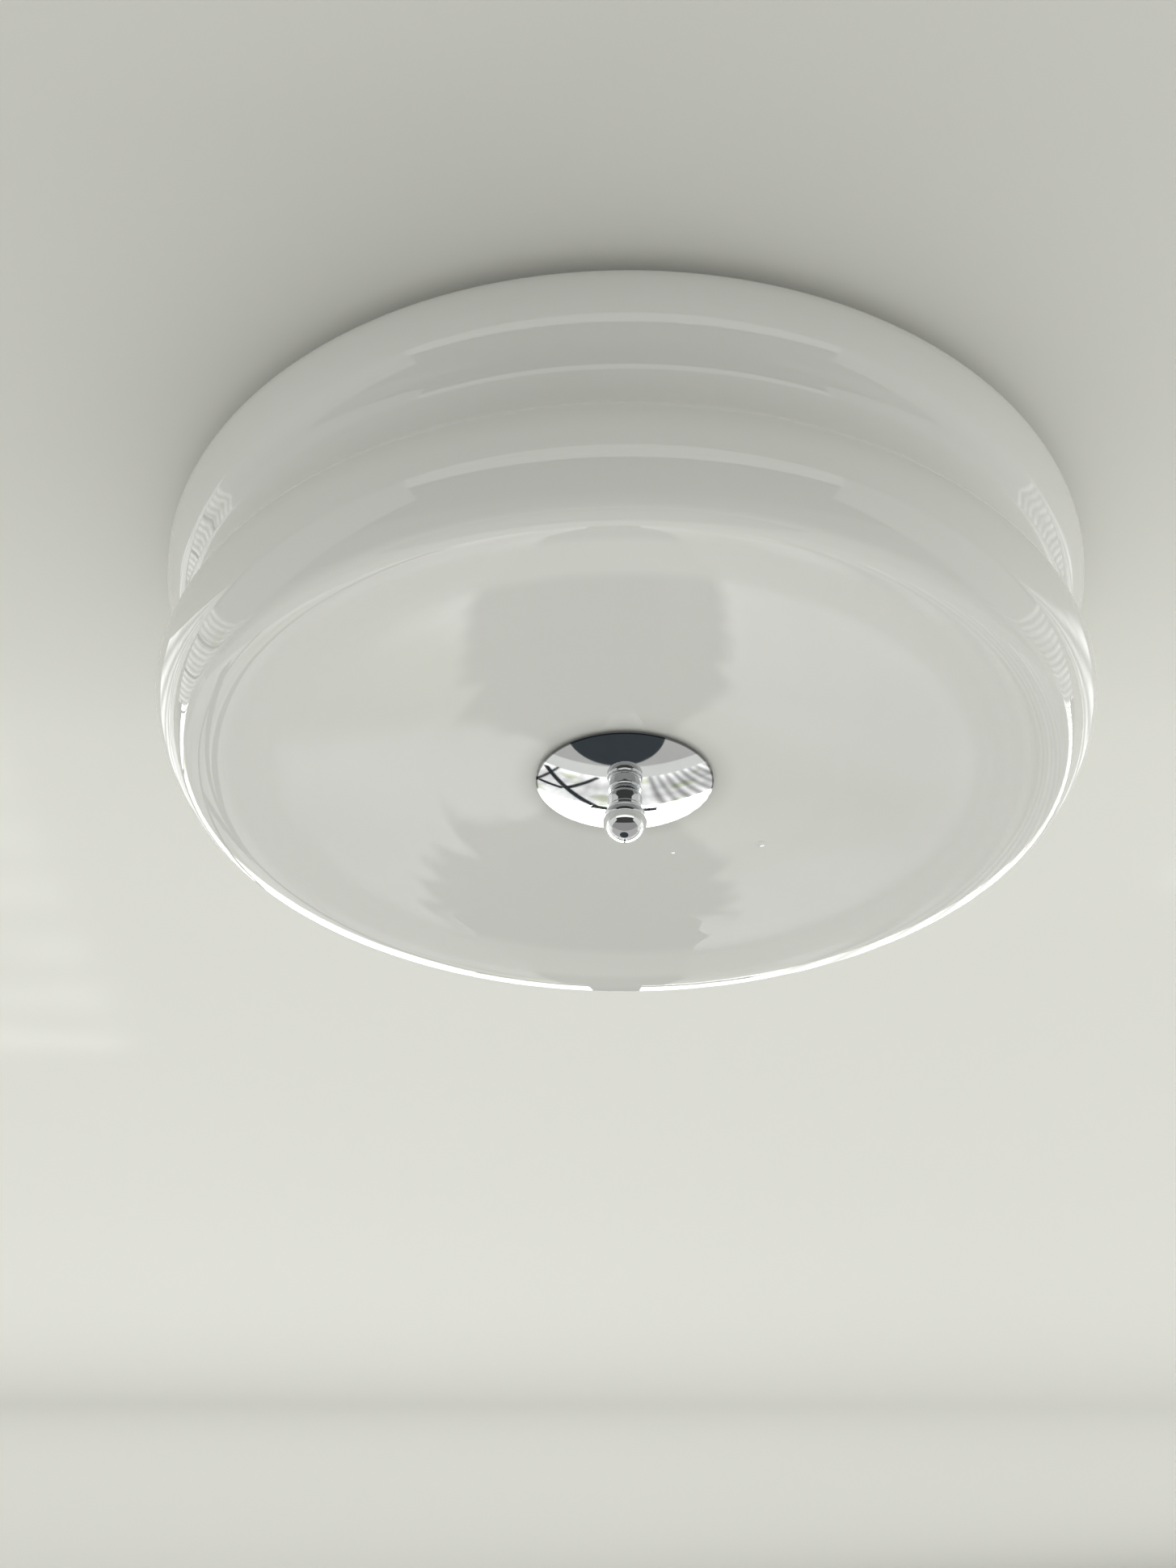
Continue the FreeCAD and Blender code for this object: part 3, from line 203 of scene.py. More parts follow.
def to_shader(source, entry):
    """Links an output to an entry of its own material's shader, and hands it on."""
    join(source, source.id_data.nodes["Principled BSDF"], entry)
    return source


def behind(source, kind, entry, **values):
    """A node behind an output; lower-case values are its properties, the others its sockets."""
    node = source.id_data.nodes.new(kind)
    for key, value in values.items():
        if key[0].islower():
            setattr(node, key, value)
        else:
            node.inputs[key.replace("_", " ")].default_value = value
    join(source, node, entry)
    return node


def places(owner, stretch=(1, 1, 1)):
    """Object coordinates, stretched by a Mapping node."""
    source = owner.node_tree.nodes.new("ShaderNodeTexCoord").outputs["Object"]
    return behind(source, "ShaderNodeMapping", "Vector", Scale=stretch).outputs["Vector"]


def axes_of(owner):
    """Object coordinates taken apart into X, Y and Z."""
    return behind(places(owner), "ShaderNodeSeparateXYZ", "Vector").outputs


def distance_from(flat, spot=(0.0, 0.0, 0.0)):
    """How far a place lies from a spot, the middle if none is told."""
    node = behind(flat, "ShaderNodeVectorMath", 0, operation="DISTANCE")
    node.inputs[1].default_value = spot
    return node.outputs["Value"]


def noise(where, scale, detail=3.0):
    return behind(where, "ShaderNodeTexNoise", "Vector", Scale=scale, Detail=detail).outputs["Fac"]


def mapped(source, low, high, to_low, to_high, smooth=False):
    """A value moved from one range to another, clamped at both ends."""
    return behind(source, "ShaderNodeMapRange", "Value", interpolation_type="SMOOTHSTEP" if smooth else "LINEAR",
                  From_Min=low, From_Max=high, To_Min=to_low, To_Max=to_high).outputs["Result"]


def maths(operation, one, other=None):
    """One value, or two put together, by a Math node; the second may be a plain number."""
    node = behind(one, "ShaderNodeMath", 0, operation=operation)
    if isinstance(other, float):
        node.inputs[1].default_value = other
    elif other is not None:
        join(other, node, 1)
    return node.outputs["Value"]


def ramped(source, stops):
    """A colour ramp over a value; each stop is (value, colour), from the lowest to the highest."""
    low, high = stops[0][0], stops[-1][0]
    ramp = behind(mapped(source, low, high, 0.0, 1.0), "ShaderNodeValToRGB", "Fac")
    while len(ramp.color_ramp.elements) < len(stops):
        ramp.color_ramp.elements.new(0.5)
    for element, (value, color) in zip(ramp.color_ramp.elements, stops):
        element.position = (value - low) / (high - low)
        element.color = (*color, 1.0)
    return ramp.outputs["Color"]


def mixed(factor, under, over):
    """One colour gives way to another as the factor rises; the first may be an output."""
    mix = behind(factor, "ShaderNodeMix", "Factor", data_type="RGBA")
    under_entry, over_entry, result = 6, 7, 2  # a Mix node's colour sockets share their names
    if isinstance(under, tuple):
        mix.inputs[under_entry].default_value = (*under, 1.0)
    else:
        join(under, mix, under_entry)
    mix.inputs[over_entry].default_value = (*over, 1.0)
    return mix.outputs[result]


def tint(factor, low, high, start=0.3, end=0.7):
    """Base colour that runs from low to high as a texture does."""
    ramp = behind(factor, "ShaderNodeValToRGB", "Fac")
    for element, place, color in zip(ramp.color_ramp.elements, (start, end), (low, high)):
        element.position, element.color = place, (*color, 1.0)
    return to_shader(ramp.outputs["Color"], "Base Color")


def bump(height, depth, after=None):
    """Relief of a depth in millimetres; a second one is laid over the first with after."""
    node = behind(height, "ShaderNodeBump", "Height", Strength=1.0, Distance=depth * MM)
    if after:
        join(after, node, "Normal")
    return to_shader(node.outputs["Normal"], "Normal")


def seen_rays(owner):
    """One for rays from the camera, a mirror or clear glass, nothing for rays that light things."""
    ray = owner.node_tree.nodes.new("ShaderNodeLightPath").outputs
    mirrored = maths("MAXIMUM", ray["Is Camera Ray"], ray["Is Glossy Ray"])
    return maths("MAXIMUM", mirrored, ray["Is Transmission Ray"])


# %% [markdown]
# ## Opal glass
# The bowl is white glass through and through, blown into a mould and fire-polished: a soft
# white body under a skin as smooth as a mirror. A little subsurface light and a faint glow
# stand for the light that comes through it, and the specular skin carries the reflections.
# Blown glass is never quite even, so two low noises make its reflections wander. Tiny
# bubbles, called seeds, dot it: a Voronoi grid with about one cell in four kept.

# %% Opal glass body
WANDER_SCALE, WANDER_DEPTH, RIPPLE_SCALE, RIPPLE_DEPTH = 16.0, 0.06, 60.0, 0.012
SEED_GRID, SEED_SIZE, SEED_SHARE, SEED_DEPTH = 22.0, 0.02, 0.25, 0.12

opal = new_material("opal_glass", Roughness=0.006, IOR=1.58, Emission_Color=(1.0, 1.0, 0.96, 1.0),
                    Emission_Strength=0.055, Subsurface_Weight=0.2,
                    Subsurface_Radius=(0.004, 0.004, 0.0036), Subsurface_Scale=1.0)
opal_place = places(opal)
body_tint = tint(noise(opal_place, 6.0), (0.585, 0.59, 0.566), (0.6, 0.605, 0.583))
wander = bump(noise(opal_place, WANDER_SCALE, detail=1.0), WANDER_DEPTH)
ripple = bump(noise(opal_place, RIPPLE_SCALE, detail=1.0), RIPPLE_DEPTH, after=wander)
seeds = behind(opal_place, "ShaderNodeTexVoronoi", "Vector", Scale=SEED_GRID).outputs
seed_dots = mapped(seeds["Distance"], 0.0, SEED_SIZE, 1.0, 0.0)
few = mapped(seeds["Color"], 1.0 - SEED_SHARE, 1.01 - SEED_SHARE, 0.0, 1.0)
seeded = bump(maths("MULTIPLY", seed_dots, few), SEED_DEPTH, after=ripple)
print("opal glass nodes:", len(opal.node_tree.nodes))

# %% [markdown]
# ## The bottom's sag
# The hot bottom of the bowl sagged a little more than its modelled dish. That shows only in
# how it mirrors, so it is a relief: slopes at a row of radii are added up to heights, and a
# Float Curve gives the height over the distance from the axis. Two larger bubbles are low
# round bumps.

# %% Sag and bubbles
SAG_RADII = (0, 40, 57, 67, 80, 100, 125, 148, 156, 165, 174)  # millimetres
SAG_SLOPES = (0, 14, 25, 26, 36, 54, 75, 94, 72, 20, 0)        # thousandths
BUBBLES = (((0.0607, 0.0516, 0.0), 0.0028, 0.25),  # place and radius in metres, height in millimetres
           ((0.0216, 0.0598, 0.0), 0.001, 0.2))
sag = [0.0]
for k in range(1, len(SAG_RADII)):
    mean_slope = (SAG_SLOPES[k] + SAG_SLOPES[k - 1]) / 2 / 1000
    sag.append(sag[-1] + (SAG_RADII[k] - SAG_RADII[k - 1]) * mean_slope)
flattened = places(opal, stretch=(1, 1, 0))
from_axis = distance_from(flattened)
across_dish = mapped(from_axis, 0.0, SAG_RADII[-1] * MM, 0.0, 1.0)
sag_curve = behind(across_dish, "ShaderNodeFloatCurve", "Value")
for radius, depth in list(zip(SAG_RADII, sag))[1:-1]:
    sag_curve.mapping.curves[0].points.new(radius / SAG_RADII[-1], depth / sag[-1])
sag_curve.mapping.update()
relief = bump(sag_curve.outputs["Value"], sag[-1], after=seeded)
for spot, radius, height in BUBBLES:
    bubble = mapped(distance_from(flattened, spot), radius * 0.3, radius, 1.0, 0.0, smooth=True)
    relief = bump(bubble, height, after=relief)
print("sag in millimetres:", round(sag[-1], 2))

# %% [markdown]
# ## Ring and shade on the bottom
# Towards the rim a ring mirrors less than the rest, and right beside the cap the glass is
# painted greyer: painted shade, where the cap shades it. Both are drawn over the distance
# from the axis, with soft ends.

# %% Dull ring and the cap's shade
RING_STARTS, RING_ENDS, SHEEN, DULL_SHEEN = (0.141, 0.15), (0.166, 0.172), 0.5, 0.03
SHADE_FADES, SHADE_DEPTH, PAINTED_SHADE_GREY = (0.0375, 0.05), 0.24, (0.22, 0.22, 0.21)
inside_ring = mapped(from_axis, *RING_STARTS, 0.0, 1.0, smooth=True)
outside_ring = mapped(from_axis, *RING_ENDS, 1.0, 0.0, smooth=True)
dull_ring = maths("MULTIPLY", inside_ring, outside_ring)
to_shader(mapped(dull_ring, 0.0, 1.0, SHEEN, DULL_SHEEN), "Specular IOR Level")
# painted shade: the base colour turns grey right beside the cap
painted_cap_shade = mapped(from_axis, *SHADE_FADES, SHADE_DEPTH, 0.0, smooth=True)
to_shader(mixed(painted_cap_shade, body_tint, PAINTED_SHADE_GREY), "Base Color")
print("opal glass nodes:", len(opal.node_tree.nodes))

# %% [markdown]
# ## Chrome
# Polished chrome is a metal with almost no roughness; what makes it look real is what it
# mirrors. Very faint turning marks run round the axis, and finger marks dull it here and
# there. The cap's last millimetre is painted darker: painted shade and reflection, standing
# for the dark gap that the rolled edge mirrors where it turns away to the glass.

# %% Chrome material
EDGE_ROLLS, EDGE_DEPTH, PAINTED_EDGE_GREY = (0.0368, 0.0374), 0.85, (0.1, 0.1, 0.1)
chrome = new_material("chrome_plate", Metallic=1.0)
chrome_place = places(chrome)
plate_tint = tint(noise(chrome_place, 90.0), (0.74, 0.75, 0.765), (0.8, 0.805, 0.815))
from_middle = distance_from(places(chrome, stretch=(1, 1, 0)))
# painted shade: the base colour goes dark grey at the cap's outer edge
painted_edge_shade = mapped(from_middle, *EDGE_ROLLS, 0.0, EDGE_DEPTH, smooth=True)
to_shader(mixed(painted_edge_shade, plate_tint, PAINTED_EDGE_GREY), "Base Color")
to_shader(mapped(noise(chrome_place, 260.0, detail=4.0), 0.0, 1.0, 0.012, 0.06), "Roughness")
turning = behind(chrome_place, "ShaderNodeTexWave", "Vector", wave_type="RINGS", rings_direction="Z",
                 Scale=600.0, Distortion=0.4, Detail=1.0)
bump(turning.outputs["Fac"], 0.0006)
print("chrome nodes:", len(chrome.node_tree.nodes))

# %% [markdown]
# ## Steel, brass, rubber, ceramic and plastic
# The hidden parts have plain workshop finishes, all by one recipe: noise of one grain tints
# them and varies their roughness, and noise six times finer is their relief. Zinc plate is
# mottled, powder coat has a fine orange peel, porcelain a thick glaze, rubber a dull skin.

# %% Workshop finishes
METAL = {"Metallic": 1.0}
RECIPES = (  # slot, material, darker tint, lighter tint, grain, roughness, relief in millimetres, more sockets
    ("white_steel", "white_powder_coat", (0.8, 0.8, 0.775), (0.84, 0.84, 0.815), 900, (0.32, 0.42), 0.02,
     {"Coat_Weight": 0.15, "Coat_Roughness": 0.2}),
    ("zinc_steel", "zinc_plate", (0.56, 0.575, 0.6), (0.74, 0.735, 0.7), 120, (0.22, 0.42), 0.01, METAL),
    ("rod_steel", "threaded_tube", (0.5, 0.505, 0.51), (0.68, 0.68, 0.66), 200, (0.25, 0.45), 0.01, METAL),
    ("nickel_brass", "satin_nickel", (0.66, 0.645, 0.61), (0.78, 0.765, 0.73), 300, (0.18, 0.3), 0.006, METAL),
    ("shell_brass", "rolled_brass", (0.62, 0.45, 0.2), (0.8, 0.62, 0.32), 160, (0.2, 0.4), 0.01, METAL),
    ("brass_clamp", "clamp_brass", (0.6, 0.46, 0.22), (0.76, 0.62, 0.36), 400, (0.25, 0.4), 0.008, METAL),
    ("tinned_copper", "tinned_copper", (0.62, 0.62, 0.61), (0.76, 0.75, 0.73), 300, (0.25, 0.45), 0.01, METAL),
    ("bulb_cap_metal", "bulb_cap_metal", (0.68, 0.68, 0.67), (0.82, 0.82, 0.8), 180, (0.2, 0.35), 0.006, METAL),
    ("bulb_solder", "solder", (0.48, 0.48, 0.48), (0.66, 0.66, 0.65), 500, (0.35, 0.55), 0.05, METAL),
    ("foam_gasket", "foam", (0.7, 0.69, 0.655), (0.79, 0.78, 0.745), 1500, (0.8, 0.95), 0.15, {}),
    ("soft_gasket", "silicone_ring", (0.75, 0.74, 0.7), (0.81, 0.8, 0.76), 300, (0.45, 0.6), 0.01, {}),
    ("clear_bush", "silicone_bush", (0.76, 0.76, 0.72), (0.83, 0.83, 0.79), 300, (0.3, 0.45), 0.01,
     {"Subsurface_Weight": 0.3, "Subsurface_Scale": 0.002}),
    ("holder_ceramic", "porcelain", (0.8, 0.79, 0.75), (0.86, 0.85, 0.81), 700, (0.12, 0.2), 0.008,
     {"Coat_Weight": 0.6, "Coat_Roughness": 0.05}),
    ("black_rubber", "black_rubber", (0.018, 0.018, 0.018), (0.05, 0.05, 0.052), 600, (0.5, 0.7), 0.03, {}),
    ("brown_insulation", "brown_insulation", (0.17, 0.065, 0.025), (0.25, 0.1, 0.04), 300, (0.3, 0.42), 0.01, {}),
    ("blue_insulation", "blue_insulation", (0.03, 0.13, 0.42), (0.05, 0.19, 0.55), 300, (0.3, 0.42), 0.01, {}),
    ("terminal_plastic", "terminal_plastic", (0.76, 0.76, 0.72), (0.83, 0.83, 0.79), 800, (0.4, 0.55), 0.02, {}),
    ("bulb_insulator", "black_glass", (0.01, 0.01, 0.014), (0.03, 0.03, 0.036), 200, (0.08, 0.16), 0.01, {}),
    ("bulb_plastic", "bulb_plastic", (0.8, 0.8, 0.78), (0.86, 0.86, 0.84), 900, (0.35, 0.5), 0.02, {}),
    ("bulb_board", "board", (0.72, 0.72, 0.66), (0.88, 0.88, 0.84), 400, (0.3, 0.5), 0.02, {}),
    ("bulb_diffuser", "bulb_diffuser", (0.84, 0.84, 0.815), (0.885, 0.885, 0.86), 500, (0.28, 0.36), 0.01,
     {"Subsurface_Weight": 0.4, "Subsurface_Scale": 0.003}))
FINISHES = {"opal_glass": opal, "chrome_plate": chrome}
for slot_name, name, low, high, grain, roughness, depth, sockets in RECIPES:
    material = FINISHES[slot_name] = new_material(name, **sockets)
    where = places(material)
    coarse = noise(where, grain, detail=4.0)
    tint(coarse, low, high)
    to_shader(mapped(coarse, 0.0, 1.0, *roughness), "Roughness")
    bump(noise(where, grain * 6, detail=2.0), depth)
print("finishes:", len(FINISHES))

# %% [markdown]
# ## The earth lead
# Its insulation is green with a yellow stripe along its upper side, so the colour follows
# the surface normal's Z: whatever faces up is yellow.

# %% Green and yellow insulation
earth = FINISHES["earth_insulation"] = new_material("green_yellow_insulation", Roughness=0.36)
skin = earth.node_tree.nodes.new("ShaderNodeNewGeometry").outputs["Normal"]
facing = behind(skin, "ShaderNodeSeparateXYZ", "Vector").outputs
tint(facing["Z"], (0.1, 0.36, 0.04), (0.85, 0.72, 0.06), start=0.42, end=0.46)
bump(noise(places(earth), 1800.0), 0.01)
print("earth lead nodes:", len(earth.node_tree.nodes))

# %% [markdown]
# ## Materials on the CAD nodes
# The record names a material slot for each CAD node, and the finish of that name is put on
# it. Nodes that are replaced further down are dressed as well, which does no harm.

# %% Dress the CAD nodes
for entry in frame["record"]["subparts"]:
    node = nodes[entry["node"]]
    dressing = FINISHES[entry["material_slot"]]
    if not node.material_slots:
        node.data.materials.append(dressing)
    for place in node.material_slots:
        place.material = dressing

# %% [markdown]
# ## The glass bowl
# The bowl is one even wall of glass. Its outer outline starts at the lip, swells out into
# the upper tier, pulls in to a waist, swells again into the lower tier, slopes down to a
# tight corner and a low rim, and rises gently to the hole in the middle. The inner outline
# is the same chain moved in by the wall. The mould leaves fine rings in the bottom face,
# waves of up to a hundredth of a millimetre, which is enough to stir a mirror.

# %% Glass bowl
WALL, MOUTH_R, LIP_Z, LIP_ROUND, LIP_CUT, GLASS_HOLE_R = 4.0, 172.0, -4.0, 1.2, 0.35, 9.0
BOWL_ARCS = chain((189.9472, LIP_Z), 90.0, [
    (11.0, 40.0), (15.5, 0.0),          # shoulder of the upper tier
    (34.0, -44.6323), (-19.0, 50.5009),  # its flank, and the waist
    (17.5, -12.0), (47.0, -45.0),       # lower tier and the slope under it
    (6.0, -80.0), (45.0, -94.1684),     # corner and rim
    (-2374.4544, -90.0)])               # hollowed bottom face
DISH_SLOPES = ((0.0, 0.0), (42.0, 0.0), (80.0, 0.046), (120.0, 0.062), (172.6, 0.0727))
RING_STEPS, RING_HEIGHTS = (13.0, 23.0), (0.004, 0.01)
RINGS_START, RINGS_FULL, RINGS_WANE, RINGS_END = 40.0, 80.0, 150.0, 170.0
DISH_STEPS = 120


def slope_at(radius):
    for (r0, s0), (r1, s1) in zip(DISH_SLOPES, DISH_SLOPES[1:]):
        if radius <= r1:
            u = (radius - r0) / (r1 - r0)
            return s0 + (s1 - s0) * u * u * (3 - 2 * u)
    return DISH_SLOPES[-1][1]


def dished(rim, centre_z):
    """Points from the rim inwards, rising by the slopes, evened out to end at a height."""
    radii = evenly(rim[0], GLASS_HOLE_R, DISH_STEPS)
    rise = [0.0]
    for r0, r1 in zip(radii, radii[1:]):
        rise.append(rise[-1] + slope_at((r0 + r1) / 2) * (r0 - r1))
    even = (centre_z - rim[1]) / rise[-1]
    print("dish slopes evened by", round(even, 3))
    return [(r, rim[1] + lift * even) for r, lift in zip(radii, rise)]


def ringed(points):
    """Adds the mould's low rings to points of the bottom face; they fade out at both ends."""
    rings = []
    for r, z in points:
        rising = (r - RINGS_START) / (RINGS_FULL - RINGS_START)
        waning = (RINGS_END - r) / (RINGS_END - RINGS_WANE)
        fade = max(0.0, min(1.0, rising)) * max(0.0, min(1.0, waning))
        waves = sum(h * math.sin(2 * math.pi * r / step) for step, h in zip(RING_STEPS, RING_HEIGHTS))
        rings.append((r, z + fade * waves))
    return rings


outside = [point for arc in BOWL_ARCS[:-1] for point in along(arc)]
centre_z = along(BOWL_ARCS[-1])[-1][1]
bottom_face = dished(outside[-1], centre_z)
outside += ringed(bottom_face[1:])
hole_z = bottom_face[-1][1]
inside = [point for arc in BOWL_ARCS for point in along(arc, inset=WALL, every=2.5)]
inside = [point for point in reversed(inside) if point[0] > GLASS_HOLE_R]
lip_low = LIP_Z - WALL
mouth = [(MOUTH_R + LIP_ROUND, lip_low), (MOUTH_R + LIP_CUT, lip_low + LIP_CUT),
         (MOUTH_R, lip_low + LIP_ROUND), (MOUTH_R, LIP_Z - LIP_ROUND),
         (MOUTH_R + LIP_CUT, LIP_Z - LIP_CUT), (MOUTH_R + LIP_ROUND, LIP_Z)]
hole = [(GLASS_HOLE_R, hole_z), (GLASS_HOLE_R, hole_z + WALL)]
bowl = turned("opal_bowl", outside + hole + inside + mouth + outside[:1], steps=224, smooth=50.0)
wear(bowl, "glass_shade", "shade", "opal_glass")

# %% [markdown]
# ## Cap
# The cap is a shallow dome of thin brass. Its outline is one arc outside and one inside,
# joined at the rim by a half-round edge. Fine steps are used, as chrome shows every flat.

# %% Cap
CAP_R, CAP_T, ROD_HOLE_R = 37.8, 1.0, 5.6
CAP_RIM_Z, CAP_APEX_Z, CAP_LIP = -106.9422, -113.7422, 0.9
DOME_STEPS, INNER_STEPS, EDGE_STEPS = 48, 24, 8
dome_rise = CAP_RIM_Z - CAP_LIP - CAP_APEX_Z
dome_radius = (CAP_R ** 2 + dome_rise ** 2) / (2 * dome_rise)


def dome(radius, inset):
    """The dome's height at a radius, on the outside or moved inwards."""
    return CAP_APEX_Z + dome_radius - math.sqrt((dome_radius - inset) ** 2 - radius ** 2)


cap_outline = [(r, dome(r, 0.0)) for r in evenly(ROD_HOLE_R, CAP_R, DOME_STEPS)]
cap_outline += arc_points((CAP_R - CAP_T / 2, CAP_RIM_Z - CAP_T / 2), CAP_T / 2, 0.0, 180.0, EDGE_STEPS)
cap_outline += [(r, dome(r, CAP_T)) for r in reversed(evenly(ROD_HOLE_R, CAP_R - CAP_T, INNER_STEPS))]
cap = turned("domed_cap", cap_outline + cap_outline[:1], steps=160, smooth=35.0)
wear(cap, "chrome_cap", "cap", "chrome_plate")

# %% [markdown]
# ## Finial
# The finial is turned on a lathe in two pieces. The neck has a rounded collar, a groove and
# a bead; the knob is a ball, cut flat where it meets the bead, with a blind bore for the
# rod's end.

# %% Finial
COLLAR_TOP, COLLAR_R, COLLAR_ROUND, COLLAR_H, COLLAR_EDGE = CAP_APEX_Z - 0.1, 7.35, 2.4, 6.8, 0.2
GROOVE_R, GROOVE_H, BEAD_R, BEAD_H, BORE_R = 7.0, 1.0, 7.75, 1.8, 5.05
BALL_R, BALL_BELOW_BEAD, ROD_REACH, BORE_SPARE = 9.3, 5.6, 11.5, 0.5
groove_top = COLLAR_TOP - COLLAR_H
bead_top = groove_top - GROOVE_H
ball_top = bead_top - BEAD_H
collar_outline = [(BORE_R, ball_top), (GROOVE_R, ball_top)]
for k in range(1, 16):
    a = math.pi * k / 16
    collar_outline.append((GROOVE_R + (BEAD_R - GROOVE_R) * math.sin(a),
                           bead_top - BEAD_H / 2 - BEAD_H / 2 * math.cos(a)))
collar_outline += [(GROOVE_R, bead_top), (GROOVE_R, groove_top), (COLLAR_R - COLLAR_EDGE, groove_top),
                   (COLLAR_R, groove_top + COLLAR_EDGE)]
collar_outline += arc_points((COLLAR_R - COLLAR_ROUND, COLLAR_TOP - COLLAR_ROUND), COLLAR_ROUND, 0.0, 90.0, 12)
collar_outline += [(BORE_R, COLLAR_TOP), (BORE_R, ball_top)]
wear(turned("finial_neck", collar_outline, steps=96, smooth=35.0), "finial_collar", "finial", "chrome_plate")

ball_z = bead_top - BALL_BELOW_BEAD
ball_start = math.degrees(math.asin((ball_top - ball_z) / BALL_R))
rod_end = COLLAR_TOP - ROD_REACH - BORE_SPARE
ball_outline = [(BORE_R, ball_top)] + arc_points((0.0, ball_z), BALL_R, ball_start, -90.0, 60)
ball_outline += [(0.0, rod_end), (BORE_R, rod_end), (BORE_R, ball_top)]
wear(turned("finial_knob", ball_outline, steps=96, smooth=35.0), "finial_ball", "finial", "chrome_plate")

# %% [markdown]
# ## Ceiling pan
# The pan is pressed from one millimetre sheet: a flat flange on the ceiling, a sloping wall
# with a bend above and below, and a flat face that everything is screwed to, stiffened by a
# low pressed ring. The whole section is drawn once and spun.

# %% Pan
PAN_FACE_Z, SHEET, FLANGE_R, WALL_FOOT_R, WALL_TOP_R, BEND_R = -22.0, 1.0, 188.0, 145.0, 150.0, 3.0
PRESSED_R, PRESSED_WIDTH, PRESSED_UP, PRESSED_STEPS, PAN_ROD_HOLE = 122.0, 14.0, 1.6, 16, 5.3
lean = math.degrees(math.atan2(WALL_TOP_R - WALL_FOOT_R, -PAN_FACE_Z - SHEET))
foot = chain((0.0, PAN_FACE_Z), -90.0, [(BEND_R + SHEET, -lean)])[0]
head = chain((0.0, -SHEET), -90.0, [(-BEND_R, -lean)])[0]


def moved_out(arc, shift):
    (r, z), radius, first, last = arc
    return ((r + shift, z), radius, first, last)


foot = moved_out(foot, WALL_FOOT_R - along(foot)[-1][0])
run = (along(head)[-1][1] - along(foot)[-1][1]) * math.tan(math.radians(lean))
head = moved_out(head, WALL_FOOT_R + run - along(head)[-1][0])
pressed = []
for u in evenly(0.0, 1.0, PRESSED_STEPS):
    pressed.append((PRESSED_R + PRESSED_WIDTH * (u - 0.5), PAN_FACE_Z + PRESSED_UP * math.sin(math.pi * u) ** 2))
lower = [(PAN_ROD_HOLE, PAN_FACE_Z)] + pressed + along(foot, every=0.5) + along(head, every=0.5)[::-1]
lower.append((FLANGE_R, -SHEET))
upper = [(FLANGE_R, 0.0)] + along(head, SHEET, 0.5) + along(foot, SHEET, 0.5)[::-1]
upper += [(r, z + SHEET) for r, z in reversed(pressed)] + [(PAN_ROD_HOLE, PAN_FACE_Z + SHEET)]
pan = turned("pressed_pan", lower + upper + lower[:1], steps=160, smooth=35.0)

# %% [markdown]
# ## Holes in the pan
# Bolts, fixings, the earth screw, leads and bracket screws go through the pan. A press would
# punch all holes in one stroke, and so does this: a set of upright cylinders is joined into
# one tool, and one Boolean takes it out of the pan.

# %% Punched holes
LAMP_ANGLES = (90.0, 210.0, 330.0)
BOLT_HOLE, GROMMET_HOLE, FIXING_HOLE, EARTH_HOLE = 2.3, 4.05, 1.55, 2.05
holes = [(-40.0, 0.0, BOLT_HOLE), (40.0, 0.0, BOLT_HOLE), (0.0, -42.0, EARTH_HOLE),
         (-27.0, 34.0, FIXING_HOLE), (27.0, 34.0, FIXING_HOLE)]
for angle in LAMP_ANGLES:
    ray = (math.cos(math.radians(angle)), math.sin(math.radians(angle)))
    for reach, radius in ((17.0, GROMMET_HOLE), (36.5, BOLT_HOLE), (50.5, BOLT_HOLE)):
        holes.append((reach * ray[0], reach * ray[1], radius))
punches = []
for x, y, radius in holes:
    bpy.ops.mesh.primitive_cylinder_add(vertices=32, radius=radius * MM, depth=6 * MM,
                                        location=(x * MM, y * MM, (PAN_FACE_Z + SHEET / 2) * MM))
    punches.append(bpy.context.object)
for punch in punches:
    punch.select_set(True)
bpy.ops.object.join()


def combined(piece, tool, operation):
    """Applies a Boolean with a tool, then deletes the tool."""
    only(piece)
    applied(piece, "BOOLEAN", operation=operation, solver="EXACT", object=tool)
    bpy.data.objects.remove(tool)
    print(piece.name, "faces:", len(piece.data.polygons))


combined(pan, bpy.context.object, "DIFFERENCE")
wear(pan, "ceiling_pan", "fixture", "white_steel")

# %% [markdown]
# ## Threads
# A screw thread is one small wave that climbs by its pitch while it goes round once, which
# is just how the Screw modifier sweeps a line. The sweep runs too far at both ends and is
# cut off level with Bisect, as a thread that simply stopped would leave a step.

# %% A swept thread
def threaded(name, wave, pitch, low, high, steps, fill=False):
    """Sweeps one wave of (radius, height) up a helix and cuts it off level at low and high."""
    piece = drawn(name, [(r, low - pitch + z) for r, z in wave])
    bpy.ops.object.mode_set(mode="OBJECT")
    applied(piece, "SCREW", screw_offset=pitch * MM, iterations=math.ceil((high - low) / pitch) + 2,
            steps=steps, render_steps=steps)
    bpy.ops.object.mode_set(mode="EDIT")
    bpy.ops.mesh.select_all(action="SELECT")
    bpy.ops.mesh.remove_doubles(threshold=MERGE_DISTANCE)
    for height, below in ((low, True), (high, False)):
        bpy.ops.mesh.select_all(action="SELECT")
        bpy.ops.mesh.bisect(plane_co=(0, 0, height * MM), plane_no=(0, 0, 1), use_fill=fill,
                            clear_inner=below, clear_outer=not below)
    closed_up(piece)
    return piece


# %% [markdown]
# ## Threaded rod
# The rod holds bowl, cap and finial. It is a tube with a thread all the way along. The
# thread is swept as a solid, and what it shares with a plain chamfered tube is kept: one
# Boolean gives the channel, the square ends and their chamfers.

